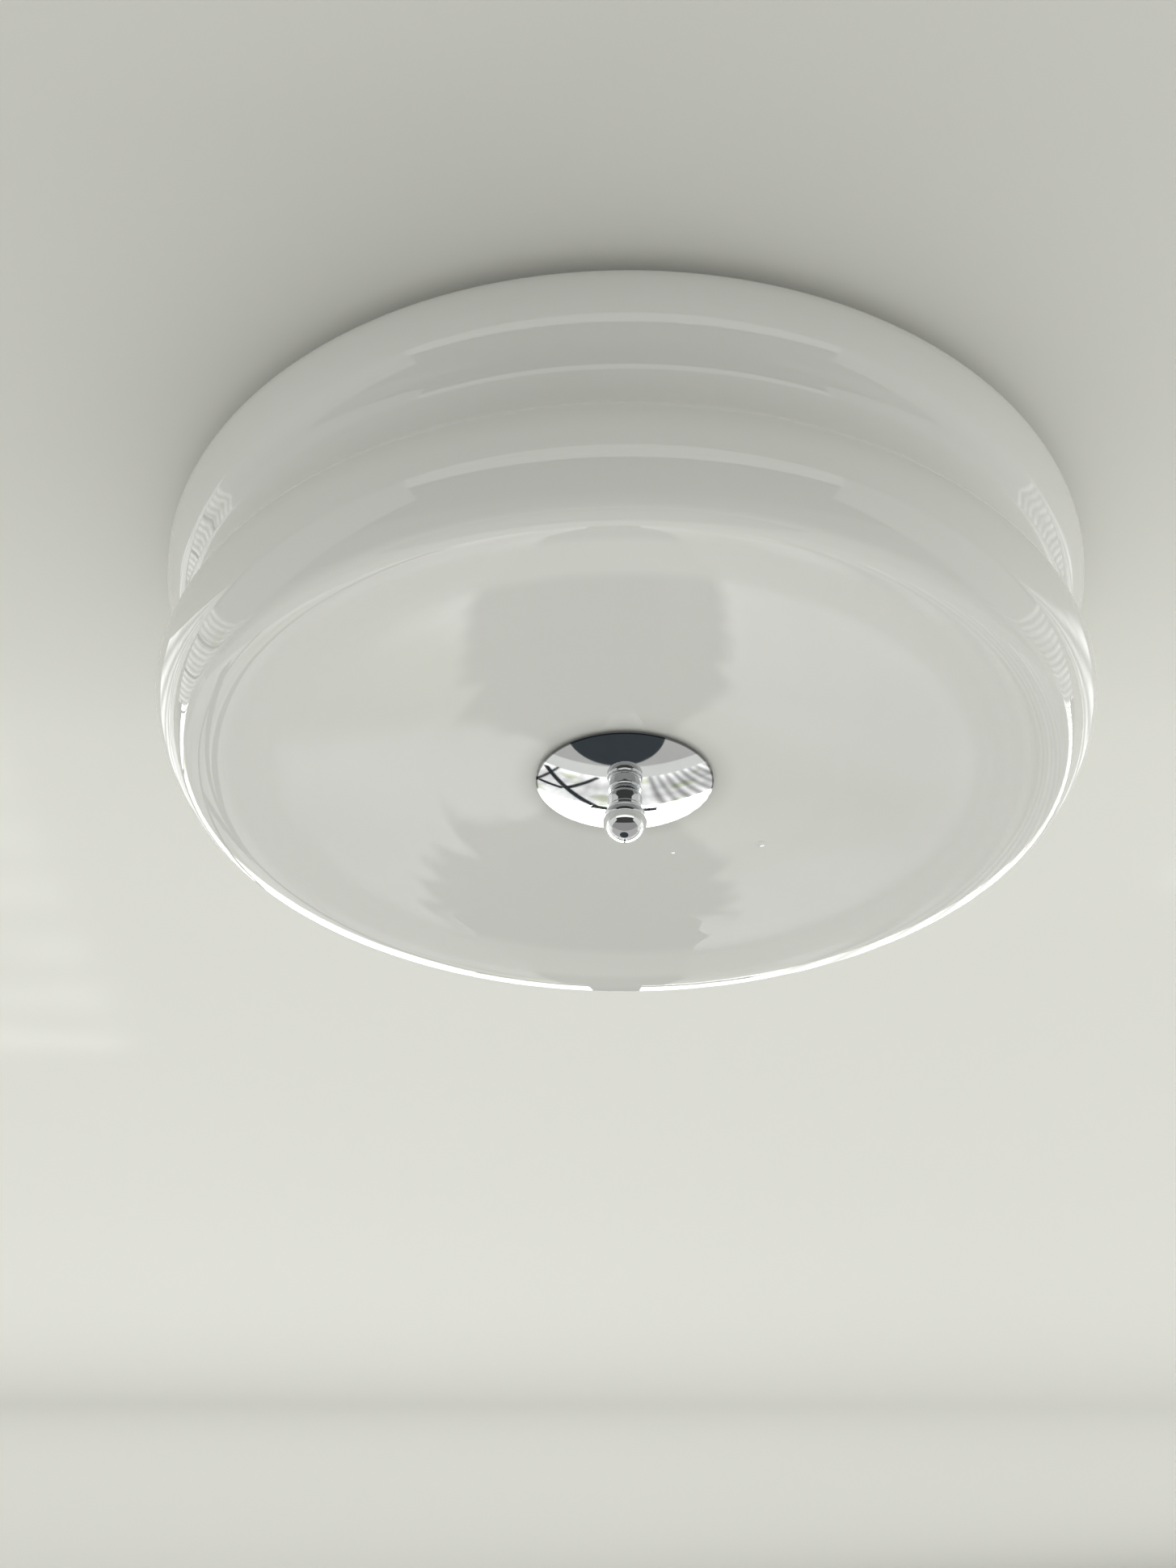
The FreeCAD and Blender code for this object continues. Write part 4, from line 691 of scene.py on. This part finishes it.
# %% Rod
ROD_TOP, ROD_BOTTOM, ROD_PITCH = -11.0, rod_end + BORE_SPARE, 1.5
ROD_R, ROD_ROOT_R, ROD_BORE_R, ROD_CHAMFER, BLANK_MORE = 5.0, 4.2, 2.5, 0.8, 0.03
ridge = [(ROD_ROOT_R, 0.0), (ROD_R, ROD_PITCH * 0.4), (ROD_R, ROD_PITCH * 0.6), (ROD_ROOT_R, ROD_PITCH)]
rod = threaded("threaded_rod", ridge, ROD_PITCH, ROD_BOTTOM - 1.0, ROD_TOP + 1.0, 32, fill=True)
blank_r, narrow = ROD_R + BLANK_MORE, ROD_R - ROD_CHAMFER
blank_outline = [(ROD_BORE_R, ROD_BOTTOM), (narrow, ROD_BOTTOM), (blank_r, ROD_BOTTOM + ROD_CHAMFER),
                 (blank_r, ROD_TOP - ROD_CHAMFER), (narrow, ROD_TOP), (ROD_BORE_R, ROD_TOP)]
blank = turned("rod_blank", blank_outline + blank_outline[:1], steps=48)
combined(rod, blank, "INTERSECT")
bpy.ops.object.shade_smooth_by_angle(angle=math.radians(28))
wear(rod, "centre_rod", "fixture", "rod_steel")

# %% [markdown]
# ## Lamp holders and bulbs
# All their pieces are turned shapes, so each is modelled upright about Z once, and copies
# are laid outwards at the lamps' height in three directions. Screw shells and bulb caps are
# rolled from thin sheet: one open wave is swept, and Solidify gives it its wall.

# %% Laying copies outwards
LAMP_Z, THREAD_PITCH, WAVE_UP, ROLLED_WALL = -53.0, 3.6, 0.6, 0.4


def lamp_copies(piece, node, body, slot_name):
    """Lays a copy in place of each lamp's own node, then deletes the upright original."""
    for number, angle in enumerate(LAMP_ANGLES, start=1):
        only(piece)
        bpy.ops.object.duplicate()
        laid = bpy.context.object
        laid.name = laid.data.name = f"{piece.name}_{number}"
        turn = Matrix.Rotation(math.radians(angle), 4, "Z")
        laid.matrix_world = turn @ Matrix.Translation((0, 0, LAMP_Z * MM)) @ Matrix.Rotation(math.pi / 2, 4, "Y")
        bpy.ops.object.transform_apply(location=True, rotation=True, scale=True)
        wear(laid, node.replace("N", str(number)), body.replace("N", str(number)), slot_name)
    bpy.data.objects.remove(piece)


def rolled(name, middle_r, low, high):
    """A thin tube rolled into a round thread, as on a bulb's cap or a holder's shell."""
    wave = [(middle_r - WAVE_UP / 2 * math.cos(math.pi * k / 4), THREAD_PITCH * k / 8) for k in range(9)]
    piece = threaded(name, wave, THREAD_PITCH, low, high, 48)
    applied(piece, "SOLIDIFY", thickness=ROLLED_WALL * MM, offset=-1.0)
    bpy.ops.object.shade_smooth_by_angle(angle=math.radians(60.0))
    return piece


print("lamp directions in degrees:", LAMP_ANGLES)

# %% [markdown]
# ## Holders
# A holder is a porcelain cup with a thin brass shell whose thread takes the bulb. The cup
# has a narrower neck, a step, and a bead round its mouth. The edges of a glazed piece are
# round, so the outline's corners are cut off by short slopes.

# %% Holders
CUP_BACK, CUP_FLOOR, CUP_MOUTH, CUP_NECK_R, CUP_R, CUP_BORE_R = 26.0, 42.0, 72.0, 17.0, 18.4, 14.5
cup_outline = [(0, CUP_BACK), (CUP_NECK_R - 1.5, CUP_BACK), (CUP_NECK_R - 0.45, CUP_BACK + 0.45),
               (CUP_NECK_R, CUP_BACK + 1.5), (CUP_NECK_R, CUP_FLOOR), (CUP_NECK_R + 0.2, CUP_FLOOR + 0.6),
               (CUP_R - 0.2, CUP_FLOOR + 1.8), (CUP_R, CUP_FLOOR + 2.4), (CUP_R, CUP_MOUTH - 4.6),
               (CUP_R + 0.6, CUP_MOUTH - 4.0), (CUP_R + 0.6, CUP_MOUTH - 0.6), (CUP_R + 0.42, CUP_MOUTH - 0.18),
               (CUP_R, CUP_MOUTH), (CUP_BORE_R + 0.6, CUP_MOUTH), (CUP_BORE_R + 0.18, CUP_MOUTH - 0.18),
               (CUP_BORE_R, CUP_MOUTH - 0.6), (CUP_BORE_R, CUP_FLOOR), (0, CUP_FLOOR)]
cup = turned("porcelain_cup", cup_outline + cup_outline[:1], steps=72, smooth=50.0)
lamp_copies(cup, "holder_N_body", "fixture", "holder_ceramic")
lamp_copies(rolled("thread_shell", 14.1, 44.0, 70.0), "holder_N_shell", "fixture", "shell_brass")

# %% [markdown]
# ## Bulbs
# A bulb has a rolled screw cap, a plastic body and a frosted globe. The body widens in a
# soft curve from a plug that sits in the cap. The globe is a thin shell, cut off where it
# meets the body.

# %% Bulbs
lamp_copies(rolled("rolled_cap", 12.7, 48.8, 72.6), "bulb_N_cap", "bulb_N", "bulb_cap_metal")
SKIRT_R, SKIRT_LOW, SKIRT_TOP, SKIRT_EDGE = 14.4, 72.6, 76.6, 0.4
BODY_R, BODY_RIM, BODY_END, BODY_EDGE, BODY_WALL = 19.6, 96.6, 99.6, 0.3, 1.6
PLUG_R, PLUG_LENGTH, FLARE_STEPS, EASED = SKIRT_R - 2.4, 6.0, 16, 0.4
flare = []
for u in evenly(0.0, 1.0, FLARE_STEPS):
    widening = (1.0 - EASED) * u + EASED * u * u * (3 - 2 * u)
    flare.append((SKIRT_R + (BODY_R - SKIRT_R) * widening, SKIRT_TOP + (BODY_RIM - SKIRT_TOP) * u))
body_outline = [(PLUG_R - BODY_WALL, SKIRT_LOW - PLUG_LENGTH), (PLUG_R, SKIRT_LOW - PLUG_LENGTH),
                (PLUG_R, SKIRT_LOW), (SKIRT_R - SKIRT_EDGE, SKIRT_LOW), (SKIRT_R, SKIRT_LOW + SKIRT_EDGE)]
body_outline += flare
body_outline += [(BODY_R, BODY_END - BODY_EDGE), (BODY_R - BODY_EDGE, BODY_END), (BODY_R - BODY_WALL, BODY_END)]
body_outline += [(r - BODY_WALL, z) for r, z in reversed(flare)]
body = turned("plastic_body", body_outline + body_outline[:1], steps=72, smooth=35.0)
lamp_copies(body, "bulb_N_housing", "bulb_N", "bulb_plastic")

GLOBE_R, GLOBE_WALL = 22.5, 1.0
globe_middle = BODY_END + math.sqrt(GLOBE_R ** 2 - BODY_R ** 2)


def dome_points(radius):
    """Points up a sphere from the body's end to its pole."""
    first = math.degrees(math.asin((BODY_END - globe_middle) / radius))
    return arc_points((0.0, globe_middle), radius, first, 90.0, 40)


globe_outline = dome_points(GLOBE_R) + dome_points(GLOBE_R - GLOBE_WALL)[::-1]
globe = turned("frosted_globe", globe_outline + globe_outline[:1], steps=80, smooth=50.0)
lamp_copies(globe, "bulb_N_globe", "bulb_N", "bulb_diffuser")

# %% [markdown]
# ## The ceiling
# The ceiling is a ring, made by extruding a circle's edge outwards; the pan covers the hole.
# Its upper side is transparent and it casts no shadow, so that views from above show the
# light's back. Its colour is a ramp across the room, painted light: brightest where the
# daylight reaches it, darker where that light falls off.

# %% Ceiling
CEILING_HOLE, CEILING_R, CEILING_GAP = 0.186, 7.0, 0.0004
CEILING_PAINTED_LIGHT = ((-0.6, 0.62), (-0.26, 0.635), (0.12, 0.735), (0.35, 0.675), (0.7, 0.625), (1.2, 0.59))
CEILING_TINT = (1.0, 1.005, 0.958)


def wall_paint(name):
    """Matt paint with the fine grain of a roller."""
    paint = new_material(name, Roughness=0.85)
    bump(noise(places(paint), 900.0), 0.02)
    return paint


ceiling_paint = wall_paint("ceiling_paint")
# painted light: the ceiling's base colour follows the daylight's fall-off across the room
painted_light_stops = [(y, [shade * part for part in CEILING_TINT]) for y, shade in CEILING_PAINTED_LIGHT]
to_shader(ramped(axes_of(ceiling_paint)["Y"], painted_light_stops), "Base Color")
inside = ceiling_paint.node_tree.nodes
choice = behind(inside.new("ShaderNodeNewGeometry").outputs["Backfacing"], "ShaderNodeMixShader", "Fac")
join(shader_of(ceiling_paint).outputs["BSDF"], choice, 1)
join(inside.new("ShaderNodeBsdfTransparent").outputs["BSDF"], choice, 2)
join(choice.outputs["Shader"], inside["Material Output"], "Surface")

bpy.ops.mesh.primitive_circle_add(vertices=96, radius=CEILING_HOLE, location=(0, 0, CEILING_GAP))
ceiling = bpy.context.object
ceiling.name = "ceiling"
bpy.ops.object.mode_set(mode="EDIT")
bpy.ops.mesh.select_all(action="SELECT")
bpy.ops.mesh.extrude_region_move()
bpy.ops.transform.resize(value=(CEILING_R / CEILING_HOLE, CEILING_R / CEILING_HOLE, 1.0))
closed_up(ceiling)
if ceiling.data.polygons[0].normal.z > 0:
    ceiling.data.flip_normals()
ceiling.data.materials.append(ceiling_paint)
ceiling.visible_shadow = False
print("ceiling faces:", len(ceiling.data.polygons))

# %% [markdown]
# ## The floor
# The floor is wide, so that it ends far behind everything. To the camera and to mirrors it
# glows evenly and takes almost no light, so no lamp leaves a pool on it. To the rays that
# light things it is darker, which keeps the shading under the bowl.

# %% Floor
FLOOR_DEPTH, FLOOR_SIZE, FLOOR_GIVES, FLOOR_SHOWS, FLOOR_UNLIT = 2.4, 120.0, 0.22, 0.76, (0.02, 0.02, 0.02)
bpy.ops.mesh.primitive_plane_add(size=FLOOR_SIZE, location=(0, 0, -FLOOR_DEPTH))
floor = bpy.context.object
floor.name = "floor"
floor_paint = wall_paint("floor_paint")
shader_of(floor_paint).inputs["Emission Color"].default_value = (0.98, 1.0, 0.95, 1.0)
floor_tint = tint(noise(places(floor_paint), 0.8), (0.2955, 0.2955, 0.28565), (0.3, 0.3, 0.29))
floor_seen = seen_rays(floor_paint)
to_shader(mapped(floor_seen, 0.0, 1.0, FLOOR_GIVES, FLOOR_SHOWS), "Emission Strength")
to_shader(mixed(floor_seen, floor_tint, FLOOR_UNLIT), "Base Color")
floor.data.materials.append(floor_paint)
print("floor size in metres:", FLOOR_SIZE)

# %% [markdown]
# ## Light on the shapes
# Two jobs are kept apart. The first is to light the shapes: a world colour gives the even
# part, and five wide, soft lamps add what comes from the windows, the walls and the floor.
# A lamp's strength is told as the radiance of its surface, so a larger lamp gives more light.
# Mirrors don't see the lamps, because giving them something to mirror is the second job.

# %% World and lamps
WORLD_GIVES, WORLD_SHOWS = 0.45, 0.84
LAMPS = (  # name, place, aim, size, radiance
    ("window_light", (0.4, 1.9, -1.25), (0, 0, -1.2), (6.5, 2.1), 0.88),
    ("room_light", (0.0, 0.0, -2.3), (0, 0.01, 0), (7.0, 7.0), 0.22),
    ("back_light", (0.0, -2.8, -0.5), (0, 0, -0.3), (5.0, 0.8), 0.66),
    ("left_light", (-2.6, 0.1, -1.2), (0, 0, -1.0), (3.4, 1.9), 0.95),
    ("right_light", (2.6, 0.1, -1.2), (0, 0, -1.0), (3.4, 1.9), 1.25))

world = bpy.data.worlds.new("room")
bpy.context.scene.world = world
world.use_nodes = True
sky = world.node_tree.nodes["Background"]
sky.inputs["Color"].default_value = (0.93, 0.94, 0.9, 1.0)
join(mapped(seen_rays(world), 0.0, 1.0, WORLD_GIVES, WORLD_SHOWS), sky, "Strength")
for name, place, aim, size, radiance in LAMPS:
    bpy.ops.object.light_add(type="AREA", location=place)
    light = bpy.context.object
    light.name = name
    light.data.shape = "RECTANGLE"
    light.data.size, light.data.size_y = size
    light.data.energy = radiance * math.pi * size[0] * size[1]
    light.data.color = (1.0, 0.99, 0.96)
    light.rotation_euler = (Vector(aim) - Vector(place)).to_track_quat("-Z", "Y").to_euler()
    light.visible_glossy = light.visible_camera = False
print("lamps:", [lamp[0] for lamp in LAMPS])

# %% [markdown]
# ## Cards for the mirrors
# What glass and chrome mirror is a set of glowing cards that only reflections can see, as a
# photographer sets up cards round a bottle. A card is told by one corner and two edges, and
# its transform is applied, so that its Object coordinates are those of the room.

# %% A card and its glow
UP = Vector((0, 0, 1))


def mirrored_only(made, glow):
    """Leaves a piece of the stage to reflections alone."""
    made.visible_camera = made.visible_diffuse = made.visible_shadow = False
    made.data.materials.append(glow)


def card(name, corner, across, tall, glow):
    """A flat card from a corner, with its two edges as vectors."""
    across, tall = Vector(across), Vector(tall)
    bpy.ops.mesh.primitive_plane_add(size=1.0, location=(0, 0, 0))
    made = bpy.context.object
    made.name = name
    turn = Matrix((across.normalized(), tall.normalized(), across.cross(tall).normalized())).transposed()
    made.rotation_euler, made.scale = turn.to_euler(), (across.length, tall.length, 1.0)
    made.location = Vector(corner) + across / 2 + tall / 2
    bpy.ops.object.transform_apply(location=True, rotation=True, scale=True)
    mirrored_only(made, glow)


def glow_material(name, color, strength=1.0):
    """A plain glow: one Emission node in place of the shader."""
    glow = bpy.data.materials.new(name)
    glow.use_nodes = True
    inside = glow.node_tree.nodes
    inside.remove(inside["Principled BSDF"])
    emit = inside.new("ShaderNodeEmission")
    emit.name = "Glow"
    emit.inputs["Color"].default_value, emit.inputs["Strength"].default_value = (*color, 1.0), strength
    join(emit.outputs["Emission"], inside["Material Output"], "Surface")
    return glow


print("up:", UP[:])

# %% [markdown]
# ## Daylight
# A window is brighter at the top, where the sky is, than over the garden. So its brightness
# is a ramp over its height, streaked a little, greener and dimmer where leaves stand before
# it, and striped where a curtain hangs. Beside the post the light fades softly, in a band
# that grows narrower downwards and is left out at the top and at the foot.

# %% Daylight material
WINDOW_Y, WINDOW_TOP, WINDOW_FOOT, ROOM_LEFT, ROOM_RIGHT = 1.23, -0.13, -1.3, -1.9, 1.9
POST_X, POST_WIDTH, CURTAIN_X = -0.012, 0.06, 0.17
POST_FADE, POST_DARKEST, POST_TAPER = (0.056, 0.068), 0.08, ((-1.25, -0.9), (0.5, 0.93))
FADE_STOPS_ABOVE, FADE_STOPS_BELOW = (-0.62, -0.58), (-1.2, -1.14)
GARDEN_TOP, LEAF_SHARE, LEAF_SHADE, LEAF_GREEN = (-0.44, -0.36), 0.6, 0.8, (0.62, 0.7, 0.42)
BRIGHTEST, DAY_WHITE = 7.0, (1.0, 1.0, 0.98)


def fade_beside_post(axes):
    """Dark at the post, full light away from it and beyond its upper and lower ends."""
    from_post = maths("ABSOLUTE", maths("SUBTRACT", axes["X"], POST_X))
    heights, widths = POST_TAPER
    widened = maths("DIVIDE", from_post, mapped(axes["Z"], *heights, *widths))
    beside_post = mapped(widened, *POST_FADE, POST_DARKEST, 1.0, smooth=True)
    above = mapped(axes["Z"], *FADE_STOPS_ABOVE, 0.0, 1.0, smooth=True)
    below = mapped(axes["Z"], *FADE_STOPS_BELOW, 1.0, 0.0, smooth=True)
    return maths("MAXIMUM", maths("MAXIMUM", above, below), beside_post)


def curtain_folds(where, along_coordinate, axis, folds_from, fold_scale, folds_between):
    """Stripes beyond a place along one axis, plain light before it."""
    folds = behind(where, "ShaderNodeTexWave", "Vector", wave_type="BANDS", bands_direction=axis,
                   Scale=fold_scale, Distortion=1.2, Detail=1.0)
    beyond = mapped(along_coordinate, folds_from - 0.01, folds_from + 0.01, 0.0, 1.0)
    curtain = behind(beyond, "ShaderNodeMix", "Factor", data_type="FLOAT", A=1.0)
    join(mapped(folds.outputs["Fac"], 0.0, 1.0, *folds_between), curtain, "B")
    return curtain.outputs["Result"]


def daylight_material(name, axis, folds_from, fold_scale, stops, folds_between):
    """Daylight whose brightness follows the height; each stop is (height, brightness)."""
    glow = glow_material(name, DAY_WHITE)
    emit = glow.node_tree.nodes["Glow"]
    axes = axes_of(glow)
    curtain = curtain_folds(places(glow, stretch=(1, 1, 0.12)), axes[axis], axis, folds_from, fold_scale,
                            folds_between)
    streaks = mapped(noise(places(glow, stretch=(16, 16, 3.0)), 1.0), 0.3, 0.7, 0.75, 1.2)
    levels = ramped(axes["Z"], [(z, (value / BRIGHTEST,) * 3) for z, value in stops])
    plain = maths("MULTIPLY", maths("MULTIPLY", curtain, streaks), levels)
    full = maths("MULTIPLY", plain, fade_beside_post(axes))
    leaves = noise(places(glow, stretch=(4, 4, 4)), 1.0, detail=1.0)
    leafy = mapped(leaves, 0.54, 0.68, 0.0, LEAF_SHARE, smooth=True)
    garden = maths("MULTIPLY", leafy, mapped(axes["Z"], *GARDEN_TOP, 1.0, 0.0))
    share = maths("MULTIPLY", full, mapped(garden, 0.0, 1.0, 1.0, LEAF_SHADE))
    join(maths("MULTIPLY", share, BRIGHTEST), emit, "Strength")
    join(mixed(garden, DAY_WHITE, LEAF_GREEN), emit, "Color")
    return glow


print("brightest daylight:", BRIGHTEST)

# %% [markdown]
# ## Windows
# A wide window stands across the room, and a dimmer one at each side, with a card close
# under the ceiling for the light along it. Curtains stripe all of them: the wide one only to
# the right of the curtain's edge, the others everywhere.

# %% Window cards
SIDE_Y, SIDE_TOP, CEILING_CARD_Z = 0.25, -0.02, -0.008
GLOW_BY_HEIGHT = ((WINDOW_FOOT, 1.6), (-1.15, 1.15), (-1.0, 0.9), (-0.9, 1.05), (-0.8, 0.9), (-0.62, 1.2),
                  (-0.6, 6.0), (WINDOW_TOP, 7.0))
rise, side_rise = UP * (WINDOW_TOP - WINDOW_FOOT), UP * (SIDE_TOP - WINDOW_FOOT)
side_length = (0, WINDOW_Y - SIDE_Y, 0)
daylight = daylight_material("daylight", "X", CURTAIN_X, 4.5, GLOW_BY_HEIGHT, (0.45, 0.95))
left_day = daylight_material("side_daylight", "Y", -1.0, 5.0, ((WINDOW_FOOT, 1.3), (WINDOW_TOP, 2.5)), (0.45, 1.0))
right_day = daylight_material("drape_daylight", "Y", -1.0, 4.0, ((WINDOW_FOOT, 1.2), (WINDOW_TOP, 1.9)), (0.45, 1.0))
whole_width = (ROOM_RIGHT - ROOM_LEFT, 0, 0)
card("window", (ROOM_LEFT, WINDOW_Y, WINDOW_FOOT), whole_width, rise, daylight)
card("left_window", (ROOM_LEFT, SIDE_Y, WINDOW_FOOT), side_length, side_rise, left_day)
card("right_window", (ROOM_RIGHT, SIDE_Y, WINDOW_FOOT), side_length, side_rise, right_day)
card("left_ceiling_glow", (ROOM_LEFT, 0.03, CEILING_CARD_Z), (1.58, 0, 0), (0, 0.45, 0), left_day)
card("right_ceiling_glow", (0.3, 0.0, CEILING_CARD_Z), (1.6, 0, 0), (0, 0.28, 0), right_day)
print("daylight nodes:", len(daylight.node_tree.nodes))

# %% [markdown]
# ## Frames and stays
# Dark strips in front of the windows draw the thin lines in the cap's mirror: a post, the
# frames' uprights, a strip along the top, and the stays that hold a tilted window open. They
# lie a centimetre apart, so that no two kinds share a plane.

# %% Frame cards
FRAME_WIDTH = 0.03
STAYS = (((-0.65, -1.22), (-0.14, -0.6), 0.05), ((-0.16, -0.6), (0.16, -0.54), 0.075),
         ((-0.56, -0.84), (-0.39, -0.84), 0.05), ((-0.4, -0.84), (-0.24, -1.25), 0.045))
frame_dark = glow_material("window_frame", (0.03, 0.035, 0.04))
for y in (0.52, 0.86):
    card("side_mullion", (ROOM_LEFT + 0.01, y, WINDOW_FOOT), (0, FRAME_WIDTH, 0), side_rise, frame_dark)
card("post", (POST_X - POST_WIDTH / 2, WINDOW_Y - 0.02, WINDOW_FOOT), (POST_WIDTH, 0, 0), rise, frame_dark)
for x in (-1.8, -1.16, -0.6):
    card("mullion", (x, WINDOW_Y - 0.01, WINDOW_FOOT), (FRAME_WIDTH, 0, 0), rise, frame_dark)
for (x0, z0), (x1, z1), thickness in STAYS:
    stay_run = Vector((x1 - x0, 0, z1 - z0))
    stay_side = stay_run.cross(Vector((0, 1, 0))).normalized() * thickness
    card("stay", (x0, WINDOW_Y - 0.03, z0), stay_run, stay_side, frame_dark)
card("pelmet", (ROOM_LEFT, WINDOW_Y - 0.04, WINDOW_TOP), whole_width, UP * FRAME_WIDTH, frame_dark)
print("stays:", len(STAYS))

# %% [markdown]
# ## Walls and floor in the mirror
# Behind the camera the room is dim, with a pale strip of wall under the ceiling. The floor
# gets paler towards the windows. A slate-grey rug, a circle stretched to an ellipse, lies
# just over it and fills the middle of the cap's mirror.

# %% Room cards
ROOM_X, ROOM_BACK, BOARDS_Z = 3.5, -3.5, -1.72
RUG_PLACE, RUG_SIZE = (-0.1, 0.62, -1.69), (1.05, 1.25, 1.0)
dim = glow_material("dim_room", (0.06, 0.063, 0.06))
pale_wall = glow_material("upper_wall", (1.0, 1.0, 0.96), 1.4)
card("upper_wall", (ROOM_X, ROOM_BACK + 0.1, -0.68), (-2 * ROOM_X, 0, 0), UP * 0.66, pale_wall)
card("dim_room", (ROOM_X, ROOM_BACK + 0.05, -2.4), (-2 * ROOM_X, 0, 0), UP * 1.8, dim)
BOARDS = (("dim_floor", ROOM_BACK, 1.6, dim),  # name, where it starts, how far it runs, glow
          ("near_floor", -1.9, 1.7, glow_material("near_floor", (0.34, 0.34, 0.33))),
          ("pale_floor", -0.2, 1.5, glow_material("pale_floor", (0.52, 0.52, 0.5))))
for name, y, depth, glow in BOARDS:
    card(name, (-ROOM_X, y, BOARDS_Z), (2 * ROOM_X, 0, 0), (0, depth, 0), glow)
bpy.ops.mesh.primitive_circle_add(vertices=64, radius=0.5, fill_type="NGON", location=RUG_PLACE)
rug = bpy.context.object
rug.name = "slate_rug"
rug.scale = RUG_SIZE
bpy.ops.object.transform_apply(location=True, rotation=True, scale=True)
mirrored_only(rug, glow_material("slate_rug", (0.045, 0.055, 0.062)))
